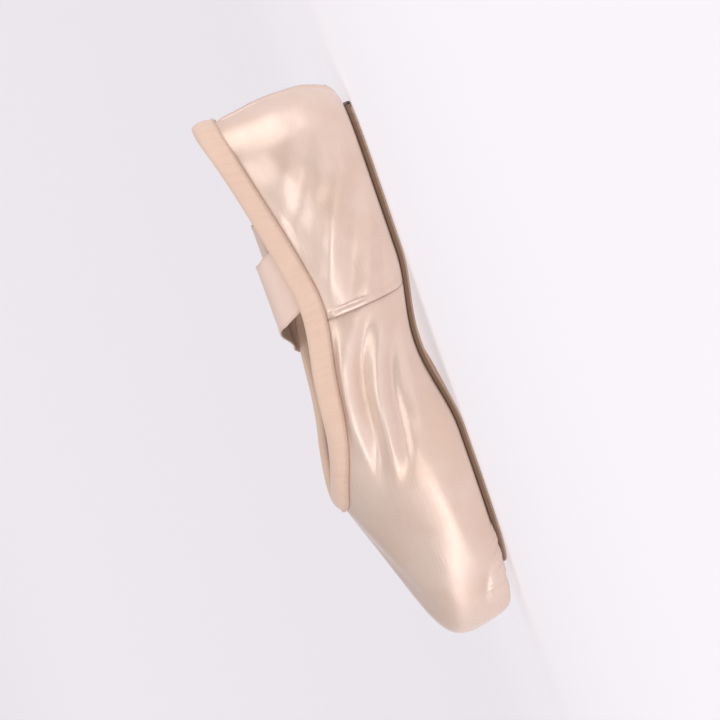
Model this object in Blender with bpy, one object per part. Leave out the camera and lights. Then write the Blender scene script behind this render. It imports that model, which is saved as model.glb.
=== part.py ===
"""Pointe shoe: a satin upper with a stiff box, an outsole, an insole, a collar binding and two ribbons.

Metres, +Z up. The toe points to -Y and the heel to +Y. The shoe stands on its outsole at Z = 0,
with its inner side, the side of the big toe on a right foot, at +X. "Along" is measured from the
back of the heel towards the toe.
"""

import math
from typing import NamedTuple

import bmesh
import bpy
import numpy as np
from mathutils import Vector

# Driving sizes of the shoe
LENGTH = 0.238
BALL_WIDTH = 0.081
WAIST_WIDTH = 0.059
HEEL_WIDTH = 0.057
PLATFORM_WIDTH = 0.050
HEEL_HEIGHT = 0.058
SIDE_HEIGHT = 0.041
THROAT_HEIGHT = 0.056
PLATFORM_HEIGHT = 0.031
VAMP_LENGTH = 0.074
ARCH_RISE = 0.005
TOE_SPRING = 0.003

# Thicknesses and edges
QUARTER_WALL = 0.0014
BOX_WALL = 0.0028
MARGIN_WALL = 0.0015
MARGIN_WIDTH = 0.012
TOE_MARGIN_WIDTH = 0.020
OUTSOLE_THICKNESS = 0.0025
OUTSOLE_EDGE = 0.0007
OUTSOLE_INSET = 0.0055
OUTSOLE_FROM_HEEL = 0.013
OUTSOLE_FROM_TIP = 0.021
INSOLE_THICKNESS = 0.0020
INSOLE_INSET = 0.0070
INSOLE_FROM_HEEL = 0.0135
INSOLE_FROM_TIP = 0.013
PLATE_HEEL_ROUND = 0.021
PLATE_TOE_ROUND = 0.024
PLATE_END = 0.0004
BINDING_WIDTH = 0.0085
BINDING_THICKNESS = 0.0009
BINDING_PUFF = 0.0007
BINDING_GAP = 0.0006
BINDING_CLEARS_SEAMS = 0.003
RIBBON_WIDTH = 0.025
RIBBON_THICKNESS = 0.0006
GAP = 0.0003
INSOLE_GAP = 0.0005

# Where the box's wall thickens, as places round the shoe from the heel
BOX_FROM = 6.8
BOX_FULL = 9.2

# Where the wall changes on its way up, as levels from 0, the margin, to 1, the rim
MARGIN_THICKENS = (0.12, 0.40)
RIM_THINS = (0.80, 0.92)
SEAMS_BEGIN = (0.16, 0.30)
PLEATS_BEGIN = (0.10, 0.20)

# Seams and pleats, raised from the wall
SEAM_AT = 3.86
SEAM_WIDTH = 0.0032
SEAM_HEIGHT = 0.0005
SEAM_ACROSS = (-0.35, 0.0, 0.22, 0.72, 1.0)
SEAM_RISE = (0.0, -0.25, 1.0, 0.75, 0.0)
BACK_SEAM_HEIGHT = 0.0004
PLEATS = 14
PLEAT_DEPTH = 0.0008
PLEAT_REACH = 0.009
PLEATS_FROM = 8.9
PLEAT_STEP_AT = 0.72
PLEAT_FOOT_AT = 0.88
PLEAT_FOOT = 0.8
PLEAT_FULL = 0.2

# How finely the surfaces are divided
COLUMNS_PER_SECTION = 4
COLUMN_CLEAR = 0.6
PLEATS_CLEAR = 0.2
TOE_SECTIONS = 4
OUTER_ROWS = 20
INNER_ROWS = 11
SOLE_STATIONS = 32
LINE_STEPS = 161
EDGE_STEPS = 400
STATIONS_AT_ENDS = 0.3
RIBBON_STATIONS = 60
SHARP_FROM = 38
SMALL_STEP = 1e-3

# Where the sole leaves the floor, as shares of the length
ARCH_FROM = 0.30
ARCH_TO = 0.62
SPRING_FROM = 0.80

THROAT_AT = LENGTH - VAMP_LENGTH
SEAT_HEIGHT = OUTSOLE_THICKNESS + GAP


class Outline(NamedTuple):
    """Where one section of the upper stands, seen from above.

    half is half the width that the sides follow. foot_side, rim_side are shares of it. foot_along is a
    share of the length, rim_along a share of the way from the heel to the throat. turn is the heading
    of the section in degrees: 0 looks to the toe, 90 across the shoe, 180 back to the heel. rim_up is a
    share of top, the height that the collar follows.
    """

    half: float
    foot_side: float
    foot_along: float
    turn: float
    rim_side: float
    rim_along: float
    top: float
    rim_up: float


class Wall(NamedTuple):
    """The corner points that pull one section's curve out and up, from the sole's edge to the rim.

    The heights of belly, wall and shoulder are shares of low, that of the crown a share of the rim's own.
    What stands out is a share of the section's half width, what lies in a share of the way to the rim.
    """

    low: float
    belly_out: float
    belly_up: float
    wall_out: float
    wall_up: float
    shoulder_in: float
    shoulder_out: float
    shoulder_up: float
    crown_in: float
    crown_up: float


BALL = BALL_WIDTH / 2
WAIST = WAIST_WIDTH / 2
HEEL = HEEL_WIDTH / 2
TIP = PLATFORM_WIDTH / 2
BALL_TURN = 106
TIP_TURN = 158

# Sections from the middle of the heel, along the inner side, to the middle of the toe
OUTLINES = (
    Outline(HEEL, 0.00, 0.030, 0, 0.00, 0.019, HEEL_HEIGHT, 1.000),
    Outline(HEEL, 0.54, 0.059, 45, 0.50, 0.058, HEEL_HEIGHT, 0.965),
    Outline(HEEL, 0.76, 0.130, 84, 0.72, 0.172, HEEL_HEIGHT, 0.880),
    Outline(HEEL, 0.76, 0.250, 90, 0.80, 0.370, SIDE_HEIGHT, 1.090),
    Outline(WAIST, 0.75, 0.370, 90, 0.87, 0.550, SIDE_HEIGHT, 1.000),
    Outline(WAIST, 0.88, 0.483, 90, 0.90, 0.705, SIDE_HEIGHT, 1.050),
    Outline(BALL, 0.76, 0.580, 90, 0.58, 0.835, THROAT_HEIGHT, 0.880),
    Outline(BALL, 0.83, 0.660, 96, 0.46, 0.925, THROAT_HEIGHT, 0.955),
    Outline(BALL, 0.84, 0.735, 106, 0.31, 0.977, THROAT_HEIGHT, 0.988),
    Outline(BALL, 0.79, 0.810, 116, 0.20, 0.994, THROAT_HEIGHT, 0.998),
    Outline(BALL, 0.70, 0.880, 124, 0.12, 0.999, THROAT_HEIGHT, 1.000),
    Outline(TIP, 0.97, 0.938, 136, 0.12, 1.000, THROAT_HEIGHT, 1.000),
    Outline(TIP, 0.72, 0.972, 158, 0.06, 1.000, THROAT_HEIGHT, 1.000),
    Outline(TIP, 0.38, 0.980, 172, 0.03, 1.000, THROAT_HEIGHT, 1.000),
    Outline(TIP, 0.00, 0.981, 180, 0.00, 1.000, THROAT_HEIGHT, 1.000),
)
WALLS = (
    Wall(HEEL_HEIGHT, 0.19, 0.140, 0.27, 0.38, 0.0, 0.20, 0.69, 0.9, 0.87),
    Wall(HEEL_HEIGHT, 0.19, 0.140, 0.27, 0.38, 0.0, 0.19, 0.66, 0.9, 0.87),
    Wall(HEEL_HEIGHT, 0.18, 0.155, 0.27, 0.39, 0.0, 0.17, 0.61, 0.5, 0.87),
    Wall(SIDE_HEIGHT, 0.19, 0.210, 0.28, 0.49, 0.0, 0.22, 0.78, 0.8, 0.87),
    Wall(SIDE_HEIGHT, 0.19, 0.200, 0.28, 0.46, 0.5, 0.18, 0.73, 1.0, 0.88),
    Wall(SIDE_HEIGHT, 0.20, 0.200, 0.29, 0.47, 0.0, 0.21, 0.76, 0.6, 0.89),
    Wall(THROAT_HEIGHT, 0.16, 0.143, 0.22, 0.36, 0.0, 0.09, 0.63, 0.4, 0.90),
    Wall(THROAT_HEIGHT, 0.16, 0.143, 0.22, 0.37, 0.0, 0.02, 0.68, 0.55, 0.92),
    Wall(THROAT_HEIGHT, 0.15, 0.143, 0.19, 0.37, 0.10, 0.02, 0.67, 0.60, 0.89),
    Wall(PLATFORM_HEIGHT, 0.13, 0.26, 0.16, 0.70, 0.07, 0.00, 1.15, 0.52, 0.86),
    Wall(PLATFORM_HEIGHT, 0.10, 0.26, 0.14, 0.72, 0.05, 0.00, 1.10, 0.45, 0.81),
    Wall(PLATFORM_HEIGHT, 0.10, 0.26, 0.20, 0.72, 0.05, 0.00, 1.02, 0.42, 0.765),
    Wall(PLATFORM_HEIGHT, 0.10, 0.26, 0.24, 0.76, 0.06, 0.00, 1.07, 0.42, 0.765),
    Wall(PLATFORM_HEIGHT, 0.10, 0.26, 0.26, 0.80, 0.07, 0.00, 1.11, 0.42, 0.775),
    Wall(PLATFORM_HEIGHT, 0.10, 0.26, 0.27, 0.81, 0.07, 0.00, 1.13, 0.42, 0.785),
)
TOE = len(OUTLINES) - 1
RING = 2 * TOE


class Bend(NamedTuple):
    """One point of a ribbon's middle line, with z the height of its lower edge, the plan heading of the
    section there in degrees, and how far that section leans from level, also in degrees."""

    x: float
    y: float
    z: float
    across: float
    lean: float


# The inner ribbon leaves the inner quarter, sags over the opening and falls down the outer side
INNER_ROUTE = (
    Bend(0.0201, 0.0580, 0.0360, 95, 0),
    Bend(0.0196, 0.0543, 0.0425, 95, 0),
    Bend(0.0189, 0.0509, 0.0485, 94, 0),
    Bend(0.0170, 0.0478, 0.0533, 92, 0),
    Bend(0.0124, 0.0446, 0.0560, 91, 0),
    Bend(0.0040, 0.0395, 0.0556, 90, 0),
    Bend(-0.0060, 0.0337, 0.0537, 90, 0),
    Bend(-0.0160, 0.0280, 0.0525, 90, 0),
    Bend(-0.0235, 0.0238, 0.0527, 90, 0),
    Bend(-0.0290, 0.0206, 0.0510, 90, 0),
    Bend(-0.0330, 0.0161, 0.0440, 90, 0),
    Bend(-0.0355, 0.0100, 0.0335, 90, 0),
    Bend(-0.0380, 0.0037, 0.0225, 90, 0),
    Bend(-0.0405, -0.0024, 0.0120, 90, 0),
    Bend(-0.0450, -0.0073, 0.0045, 90, 0),
    Bend(-0.0530, -0.0122, 0.0012, 92, 0),
    Bend(-0.0650, -0.0185, 0.0007, 104, 0),
    Bend(-0.0790, -0.0265, 0.0007, 126, -14),
    Bend(-0.0900, -0.0400, 0.0007, 152, -32),
    Bend(-0.0940, -0.0580, 0.0007, 178, -38),
    Bend(-0.0890, -0.0780, 0.0007, 198, -26),
    Bend(-0.0800, -0.0970, 0.0007, 200, -4),
    Bend(-0.0750, -0.1170, 0.0007, 182, 20),
    Bend(-0.0800, -0.1350, 0.0007, 144, 42),
    Bend(-0.0960, -0.1440, 0.0007, 100, 50),
    Bend(-0.1140, -0.1390, 0.0007, 58, 46),
    Bend(-0.1260, -0.1220, 0.0007, 26, 32),
    Bend(-0.1300, -0.1000, 0.0007, 4, 12),
    Bend(-0.1290, -0.0800, 0.0007, 0, 0),
)
# The outer ribbon leaves the outer quarter, falls down it and lies in a wider curve
OUTER_ROUTE = (
    Bend(-0.0206, 0.053, 0.0314, 85, 0),
    Bend(-0.0201, 0.053, 0.0389, 85, 0),
    Bend(-0.0193, 0.053, 0.0459, 85, 0),
    Bend(-0.0203, 0.053, 0.0506, 85, 0),
    Bend(-0.0238, 0.053, 0.0523, 86, 0),
    Bend(-0.0274, 0.053, 0.0504, 86, 0),
    Bend(-0.0294, 0.053, 0.0444, 86, 0),
    Bend(-0.0305, 0.053, 0.0344, 87, 0),
    Bend(-0.0313, 0.053, 0.0224, 88, 0),
    Bend(-0.0335, 0.053, 0.0110, 90, 0),
    Bend(-0.0400, 0.053, 0.0032, 90, 0),
    Bend(-0.0520, 0.0536, 0.0008, 86, 2),
    Bend(-0.0720, 0.057, 0.0007, 76, 8),
    Bend(-0.0910, 0.066, 0.0007, 68, 6),
    Bend(-0.1110, 0.074, 0.0007, 80, -12),
    Bend(-0.1320, 0.073, 0.0007, 108, -34),
    Bend(-0.1480, 0.059, 0.0007, 138, -48),
    Bend(-0.1540, 0.038, 0.0007, 168, -46),
    Bend(-0.1510, 0.015, 0.0007, 186, -30),
    Bend(-0.1450, -0.007, 0.0007, 190, -8),
    Bend(-0.1440, -0.030, 0.0007, 176, 12),
    Bend(-0.1520, -0.051, 0.0007, 158, 24),
    Bend(-0.1640, -0.070, 0.0007, 150, 16),
    Bend(-0.1740, -0.090, 0.0007, 160, -4),
    Bend(-0.1760, -0.112, 0.0007, 184, -22),
    Bend(-0.1680, -0.132, 0.0007, 208, -16),
    Bend(-0.1570, -0.149, 0.0007, 212, 0),
)


def start_empty():
    """Removes what the scene holds, so that only the shoe is in it."""
    for thing in list(bpy.data.objects):
        bpy.data.objects.remove(thing)


def rise(along):
    """The height of the sole's line over the floor: flat under heel and ball, arched between."""
    share = np.clip((along / LENGTH - ARCH_FROM) / (ARCH_TO - ARCH_FROM), 0.0, 1.0)
    spring = np.clip((along / LENGTH - SPRING_FROM) / (1.0 - SPRING_FROM), 0.0, 1.2)
    return ARCH_RISE * np.sin(math.pi * share) ** 2 + TOE_SPRING * spring**2


def smooth(low, high, value):
    """0 below low, 1 above high, and an even curve between."""
    share = np.clip((value - low) / (high - low), 0.0, 1.0)
    return share * share * (3.0 - 2.0 * share)


def section_corners(outline, wall):
    """One section's eight corner points, as side, along and up, from the margin to the rim."""
    to_toe = smooth(BALL_TURN, TIP_TURN, outline.turn)
    margin = MARGIN_WIDTH + (TOE_MARGIN_WIDTH - MARGIN_WIDTH) * to_toe
    heading = math.radians(outline.turn)
    inward = np.array([-math.sin(heading), math.cos(heading)])
    foot = np.array([outline.half * outline.foot_side, LENGTH * outline.foot_along])
    rim = np.array([outline.half * outline.rim_side, THROAT_AT * outline.rim_along])
    rim_up = outline.top * outline.rim_up

    def corner(share_in, out, up):
        return (*(foot + (rim - foot) * share_in - inward * outline.half * out), up)

    return (
        (*(foot + inward * margin), 0.0),
        (*(foot + inward * margin / 2), 0.0),
        (*foot, 0.0),
        corner(0.0, wall.belly_out, wall.low * wall.belly_up),
        corner(0.0, wall.wall_out, wall.low * wall.wall_up),
        corner(wall.shoulder_in, wall.shoulder_out, wall.low * wall.shoulder_up),
        corner(wall.crown_in, 0.0, rim_up * wall.crown_up),
        (*rim, rim_up),
    )


def ring_net():
    """The corner points all round the shoe, set so that the surface passes through every section."""
    inner = np.array([section_corners(o, w) for o, w in zip(OUTLINES, WALLS, strict=True)])
    outer = inner[-2:0:-1] * np.array([-1.0, 1.0, 1.0])
    sections = np.concatenate([inner, outer])
    around = np.eye(RING)
    mixing = (4.0 * around + np.roll(around, 1, axis=1) + np.roll(around, -1, axis=1)) / 6.0
    return np.linalg.solve(mixing, sections.reshape(RING, -1)).reshape(sections.shape)


NET = ring_net()
CORNERS = NET.shape[1]


def ring_weights(places):
    """How much each section counts at the given places round the shoe."""
    places = np.asarray(places, float)
    whole = np.floor(places).astype(int)
    part = places - whole
    blend = (
        (1 - part) ** 3 / 6,
        (3 * part**3 - 6 * part**2 + 4) / 6,
        (-3 * part**3 + 3 * part**2 + 3 * part + 1) / 6,
        part**3 / 6,
    )
    weights = np.zeros((len(places), RING))
    for step, share in enumerate(blend):
        np.add.at(weights, (np.arange(len(places)), (whole - 1 + step) % RING), share)
    return weights


def height_weights(levels):
    """How much each corner point of a section counts at levels from 0, the margin, to 1, the rim."""
    spans = CORNERS - 3
    knots = np.concatenate([[0.0] * 3, np.linspace(0.0, 1.0, spans + 1), [1.0] * 3])
    levels = np.clip(levels, 0.0, 1.0 - 1e-9)
    weights = [(knots[k] <= levels) & (levels < knots[k + 1]) for k in range(len(knots) - 1)]
    weights = [w.astype(float) for w in weights]
    for degree in range(1, 4):
        raised = []
        for k in range(len(weights) - 1):
            rising = knots[k + degree] - knots[k]
            falling = knots[k + degree + 1] - knots[k + 1]
            left = (levels - knots[k]) / rising * weights[k] if rising > 0 else 0.0
            right = (knots[k + degree + 1] - levels) / falling * weights[k + 1] if falling > 0 else 0.0
            raised.append(left + right)
        weights = raised
    return np.stack(weights, axis=-1)


def by_column(places, levels):
    """The levels as a table with a row for each place, also where all places share one list."""
    levels = np.atleast_2d(np.asarray(levels, float))
    return np.broadcast_to(levels, (len(places), levels.shape[1]))


def form(places, levels):
    """Points of the upper's smooth outer surface, one row for each place round the shoe."""
    net = np.tensordot(ring_weights(places), NET, axes=(1, 0))
    heights = height_weights(by_column(places, levels))
    side, along, up = np.moveaxis(np.einsum("pkc,plk->plc", net, heights), 2, 0)
    return np.stack([side, LENGTH / 2 - along, up + SEAT_HEIGHT + rise(along)], axis=2)


def outward(places, levels):
    """The surface's unit normals, pointing out of the shoe."""
    step = SMALL_STEP
    levels = np.clip(by_column(places, levels), step, 1.0 - step)
    around = form(np.asarray(places) + step, levels) - form(np.asarray(places) - step, levels)
    upward = form(places, levels + step) - form(places, levels - step)
    normal = np.cross(upward, around)
    return normal / np.linalg.norm(normal, axis=2, keepdims=True)


def wall_thickness(places, levels):
    """Thin in the quarters and the margin, thick where paste stiffens the box."""
    from_heel = np.minimum(np.asarray(places) % RING, RING - np.asarray(places) % RING)
    side = QUARTER_WALL + (BOX_WALL - QUARTER_WALL) * smooth(BOX_FROM, BOX_FULL, from_heel)[:, None]
    levels = by_column(places, levels)
    rim = (QUARTER_WALL - side) * smooth(*RIM_THINS, levels)
    return MARGIN_WALL + (side - MARGIN_WALL) * smooth(*MARGIN_THICKENS, levels) + rim


def below_rim(places, levels):
    """How far each point lies below the collar's edge, along the surface."""
    fine = np.linspace(0.0, 1.0, LINE_STEPS)
    lines = form(places, fine)
    steps = np.linalg.norm(np.diff(lines, axis=1), axis=2)
    length = np.concatenate([np.zeros((len(lines), 1)), np.cumsum(steps, axis=1)], axis=1)
    levels = by_column(places, levels)
    return np.array([row[-1] - np.interp(own, fine, row) for own, row in zip(levels, length, strict=True)])


def level_below_rim(places, distance):
    """The level on each column that lies the given distance below the collar's edge, as a column."""
    fine = np.linspace(0.0, 1.0, LINE_STEPS)
    below = below_rim(places, fine)
    return np.array([[np.interp(-distance, -row, fine)] for row in below])


def rows_up(places, count):
    """Levels of each column's rows: even ones up to the binding, then one under its middle and the rim."""
    band = [level_below_rim(places, BINDING_WIDTH * share) for share in (1.0, 0.5, 0.0)]
    even = np.linspace(0.0, 1.0, count - 2)[None, :-1] * band[0]
    return np.concatenate([even, *band], axis=1)


def foot_line(places, inset=0.0):
    """Points of the sole's edge in plan, as side and along, moved in by inset."""
    net = np.tensordot(ring_weights(places), NET, axes=(1, 0))
    edge = net[:, 2, :2]
    inward = net[:, 0, :2] - edge
    inward = inward / np.linalg.norm(inward, axis=1, keepdims=True)
    return edge + inward * np.asarray(inset).reshape(-1, 1)


def pleat_starts():
    """The places round the toe where the pleats begin, evenly spaced along the sole's edge."""
    fine = np.linspace(PLEATS_FROM, RING - PLEATS_FROM, EDGE_STEPS)
    steps = np.linalg.norm(np.diff(foot_line(fine), axis=0), axis=1)
    run = np.concatenate([[0.0], np.cumsum(steps)])
    return np.interp(np.linspace(0.0, run[-1], PLEATS + 1), run, fine)


def place_step(place):
    """How many metres of the sole's edge one unit of place takes here."""
    pair = foot_line([place - SMALL_STEP, place + SMALL_STEP])
    return float(np.linalg.norm(pair[1] - pair[0])) / (2 * SMALL_STEP)


def seam_places(middle, heelward):
    """Columns that carry one side seam: a ridge on its heel side and a step down on its toe side."""
    unit = SEAM_WIDTH / place_step(middle) * heelward
    return [middle + unit * share for share in SEAM_ACROSS]


def seam_profile(places, middle, heelward):
    """The height of one side seam across its own width."""
    unit = SEAM_WIDTH / place_step(middle)
    across = (np.asarray(places) - middle) * heelward / unit
    return SEAM_HEIGHT * np.interp(across, SEAM_ACROSS, SEAM_RISE)


def pleat_profile(places):
    """The sawtooth of the toe pleats: each rises slowly and ends in a step."""
    starts = pleat_starts()
    share = np.interp(places, starts, np.arange(PLEATS + 1))
    inside = (np.asarray(places) > starts[0]) & (np.asarray(places) < starts[-1])
    shape = np.interp(share % 1.0, [0.0, PLEAT_STEP_AT, PLEAT_FOOT_AT, 1.0], [0.0, 1.0, PLEAT_FOOT, 0.0])
    return PLEAT_DEPTH * inside * shape


def relief(places, levels):
    """What the seams and pleats raise on the smooth surface, in metres."""
    places = np.asarray(places, float)
    below = below_rim(places, levels)
    under_binding = smooth(BINDING_WIDTH + GAP, BINDING_WIDTH + BINDING_CLEARS_SEAMS, below)
    above_margin = smooth(*SEAMS_BEGIN, by_column(places, levels))
    back = np.minimum(places % RING, RING - places % RING) * place_step(0.0)
    ridges = BACK_SEAM_HEIGHT * np.interp(back, [0.0, SEAM_WIDTH / 2], [1.0, 0.0])
    ridges = ridges + seam_profile(places, SEAM_AT, -1.0) + seam_profile(places, RING - SEAM_AT, 1.0)
    heights = form(places, levels)[:, :, 2] - SEAT_HEIGHT - TOE_SPRING
    fade = 1.0 - smooth(PLEAT_FULL * PLEAT_REACH, PLEAT_REACH, heights)
    fade = fade * smooth(*PLEATS_BEGIN, by_column(places, levels))
    return ridges[:, None] * under_binding * above_margin + pleat_profile(places)[:, None] * fade


def columns(with_relief):
    """Places round the shoe where the mesh has a column, in order from the heel's middle."""
    places = [k / COLUMNS_PER_SECTION for k in range(RING * COLUMNS_PER_SECTION)]
    if not with_relief:
        return np.array([p for p in places if abs(p - TOE) >= TOE_SECTIONS or p == int(p)])
    starts = pleat_starts()
    places = [p for p in places if not starts[0] - PLEATS_CLEAR < p < starts[-1] + PLEATS_CLEAR]
    for first, last in zip(starts[:-1], starts[1:], strict=True):
        places += [first + (last - first) * share for share in (0.0, PLEAT_STEP_AT, PLEAT_FOOT_AT)]
    places.append(starts[-1])
    half = SEAM_WIDTH / 2 / place_step(0.0)
    seams = seam_places(SEAM_AT, -1.0) + seam_places(RING - SEAM_AT, 1.0) + [half, RING - half, 0.0]
    clear = COLUMN_CLEAR * SEAM_WIDTH / place_step(SEAM_AT)
    places = [p for p in places if min(abs(p - s) for s in seams + [RING]) > clear]
    return np.array(sorted(places + seams))


def add_object(name, verts, faces, material):
    """A mesh object from points and faces, shaded smooth with its sharp edges kept."""
    mesh = bpy.data.meshes.new(name)
    mesh.from_pydata([Vector(p) for p in verts], [], faces)
    mesh.validate()
    made = bmesh.new()
    made.from_mesh(mesh)
    bmesh.ops.recalc_face_normals(made, faces=made.faces)
    made.to_mesh(mesh)
    made.free()
    mesh.shade_smooth()
    mesh.set_sharp_from_angle(angle=math.radians(SHARP_FROM))
    mesh.materials.append(material)
    thing = bpy.data.objects.new(name, mesh)
    PARTS.objects.link(thing)
    return thing


def ring_mesh(name, loops, material):
    """A closed band: every loop is one column's closed section, and the last column meets the first."""
    count, size = loops.shape[:2]
    faces = []
    for c in range(count):
        onward = (c + 1) % count
        for k in range(size):
            after = (k + 1) % size
            faces.append((c * size + k, onward * size + k, onward * size + after, c * size + after))
    return add_object(name, loops.reshape(-1, 3), faces, material)


def strip_mesh(name, loops, material):
    """A closed bar: sections joined from the first to the last, with a face over each end. Both sides of
    the bar are split along the same diagonals, so that a thin twisted bar keeps its thickness."""
    count, size = loops.shape[:2]
    faces = []
    for c in range(count - 1):
        for k in range(size):
            after = (k + 1) % size
            quad = (c * size + k, (c + 1) * size + k, (c + 1) * size + after, c * size + after)
            first, second, third, fourth = quad if k < size // 2 else (*quad[1:], quad[0])
            faces += [(first, second, third), (first, third, fourth)]
    faces.append(tuple(range(size)))
    faces.append(tuple((count - 1) * size + k for k in range(size)))
    return add_object(name, loops.reshape(-1, 3), faces, material)


def make_upper(material):
    """The hollow upper: one wall round the foot, open at the collar and under the foot."""
    places = columns(with_relief=True)
    outer_levels = rows_up(places, OUTER_ROWS)
    inner_levels = rows_up(places, INNER_ROWS)[:, ::-1]
    outer = form(places, outer_levels)
    outer = outer + outward(places, outer_levels) * relief(places, outer_levels)[:, :, None]
    wall = wall_thickness(places, inner_levels)[:, :, None]
    inner = form(places, inner_levels) - outward(places, inner_levels) * wall
    return ring_mesh("upper", np.concatenate([outer, inner], axis=1), material)


def off_wall(places, levels, out, through):
    """Points that stand out from the upper's wall, or into the shoe where through is true."""
    reach = -out - wall_thickness(places, levels) if through else np.full((len(places), 1), out)
    return (form(places, levels) + outward(places, levels) * reach[:, :, None])[:, 0]


class Corner(NamedTuple):
    """One corner of the binding's section: how far below the collar's edge, as a share of its width, how
    far off the wall, and how far above the edge."""

    below: float
    out: float
    above: float


def make_binding(material):
    """The folded band over the collar's edge, puffed out by the cord that runs inside it."""
    places = columns(with_relief=False)
    leaf = BINDING_GAP + BINDING_THICKNESS
    outside = (
        Corner(below=1.00, out=BINDING_GAP + 0.35 * BINDING_THICKNESS, above=0.0),
        Corner(below=0.88, out=leaf, above=0.0),
        Corner(below=0.45, out=leaf + BINDING_PUFF, above=0.0),
        Corner(below=0.10, out=leaf + 0.5 * BINDING_PUFF, above=0.0),
        Corner(below=0.00, out=0.6 * leaf, above=0.9 * leaf),
    )
    inside = (
        Corner(below=0.00, out=0.6 * leaf, above=0.9 * leaf),
        Corner(below=0.12, out=leaf, above=0.0),
        Corner(below=1.00, out=leaf, above=0.0),
        Corner(below=1.00, out=BINDING_GAP, above=0.0),
        Corner(below=0.50, out=BINDING_GAP, above=0.0),
        Corner(below=0.00, out=BINDING_GAP, above=BINDING_GAP),
    )
    under = (
        Corner(below=0.00, out=BINDING_GAP, above=BINDING_GAP),
        Corner(below=0.50, out=BINDING_GAP, above=0.0),
        Corner(below=1.00, out=BINDING_GAP, above=0.0),
    )
    rim = form(places, [1.0])[:, 0]
    upward = rim - form(places, [1.0 - SMALL_STEP])[:, 0]
    upward = upward / np.linalg.norm(upward, axis=1, keepdims=True)
    rings = []
    for corners, through in ((outside, False), (inside, True), (under, False)):
        for corner in corners:
            levels = level_below_rim(places, corner.below * BINDING_WIDTH)
            rings.append(off_wall(places, levels, corner.out, through) + upward * corner.above)
    return ring_mesh("collar_binding", np.stack(rings, axis=1), material)


def plate_half(station, first, last, inset):
    """Half the width of a plate at one station: the foot's outline moved in, with both ends round."""
    side, along = foot_line(np.linspace(0.0, TOE, EDGE_STEPS)).T
    rising = np.maximum.accumulate(along)
    widest_end = np.clip(station, first + PLATE_HEEL_ROUND, last - PLATE_TOE_ROUND)
    half = float(np.interp(widest_end, rising, side)) - inset
    back = min((station - first) / PLATE_HEEL_ROUND, 1.0)
    front = min((last - station) / PLATE_TOE_ROUND, 1.0)
    return half * math.sqrt(1.0 - (1.0 - back) ** 2) * math.sqrt(1.0 - (1.0 - front) ** 2)


def plate_mesh(name, first, last, inset, low, thickness, material):
    """A flat plate that follows the sole's line, with its edges cut back a little below."""
    turn = np.linspace(0.0, math.pi, SOLE_STATIONS)
    closer_ends = (1.0 - np.cos(turn)) / 2
    even = np.linspace(0.0, 1.0, SOLE_STATIONS)
    end = PLATE_END / (last - first)
    mixed = STATIONS_AT_ENDS * closer_ends + (1.0 - STATIONS_AT_ENDS) * even
    shares = np.clip(mixed, end, 1.0 - end)
    loops = []
    for station in first + (last - first) * shares:
        half = plate_half(station, first, last, inset)
        flat = half - min(OUTSOLE_EDGE, 0.4 * half)
        base = low + float(rise(station))
        corners = [(-flat, 0.0), (0.0, 0.0), (flat, 0.0), (half, OUTSOLE_EDGE)]
        corners += [(half, thickness), (0.0, thickness), (-half, thickness), (-half, OUTSOLE_EDGE)]
        loops.append([(x, LENGTH / 2 - station, base + z) for x, z in corners])
    return strip_mesh(name, np.array(loops), material)


def make_outsole(material):
    """The short leather outsole, narrower than the foot and cut back before the toe pleats."""
    last = LENGTH - OUTSOLE_FROM_TIP
    return plate_mesh("outsole", OUTSOLE_FROM_HEEL, last, OUTSOLE_INSET, 0.0, OUTSOLE_THICKNESS, material)


def make_insole(material):
    """The board that the foot stands on, laid on the turned-in margin."""
    low = SEAT_HEIGHT + MARGIN_WALL + INSOLE_GAP
    last = LENGTH - INSOLE_FROM_TIP
    return plate_mesh("insole", INSOLE_FROM_HEEL, last, INSOLE_INSET, low, INSOLE_THICKNESS, material)


def eased(rows, count):
    """Evenly many stations on the smooth curve through the rows of a route."""
    rows = np.asarray(rows, float)
    ends = np.concatenate([[2 * rows[0] - rows[1]], rows, [2 * rows[-1] - rows[-2]]])
    stations = []
    for place in np.linspace(0.0, len(rows) - 1, count):
        k = min(int(place), len(rows) - 2)
        t = place - k
        a, b, c, d = ends[k : k + 4]
        curve = 2 * b + (c - a) * t + (2 * a - 5 * b + 4 * c - d) * t**2 + (3 * b - a - 3 * c + d) * t**3
        stations.append(curve / 2)
    return np.array(stations)


def make_ribbon(name, route, material):
    """One satin ribbon: a flat strip, whose sections may cross its route at a slant."""
    stations = eased(route, RIBBON_STATIONS)
    middle = stations[:, :3]
    forward = np.gradient(middle, axis=0)
    forward = forward / np.linalg.norm(forward, axis=1, keepdims=True)
    across, lean = np.radians(stations[:, 3]), np.radians(stations[:, 4])
    width = np.stack([np.cos(across) * np.cos(lean), np.sin(across) * np.cos(lean), np.sin(lean)], axis=1)
    face = np.cross(forward, width)
    square_on = np.linalg.norm(face, axis=1, keepdims=True)
    face, width = face / square_on, width / square_on
    middle[:, 2] += np.hypot(width[:, 2] * RIBBON_WIDTH, RIBBON_THICKNESS) / 2
    corners = ((-0.5, -0.5), (0.5, -0.5), (0.5, 0.5), (-0.5, 0.5))
    loops = [
        middle + width * (RIBBON_WIDTH * across_share) + face * (RIBBON_THICKNESS * through)
        for across_share, through in corners
    ]
    return strip_mesh(name, np.stack(loops, axis=1), material)


def finish(name, colour, roughness, sheen=0.0):
    """One plain finish."""
    material = bpy.data.materials.new(name)
    material.use_nodes = True
    shader = material.node_tree.nodes["Principled BSDF"]
    shader.inputs["Base Color"].default_value = (*colour, 1.0)
    shader.inputs["Roughness"].default_value = roughness
    shader.inputs["Metallic"].default_value = 0.0
    shader.inputs["Sheen Weight"].default_value = sheen
    return material


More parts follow.
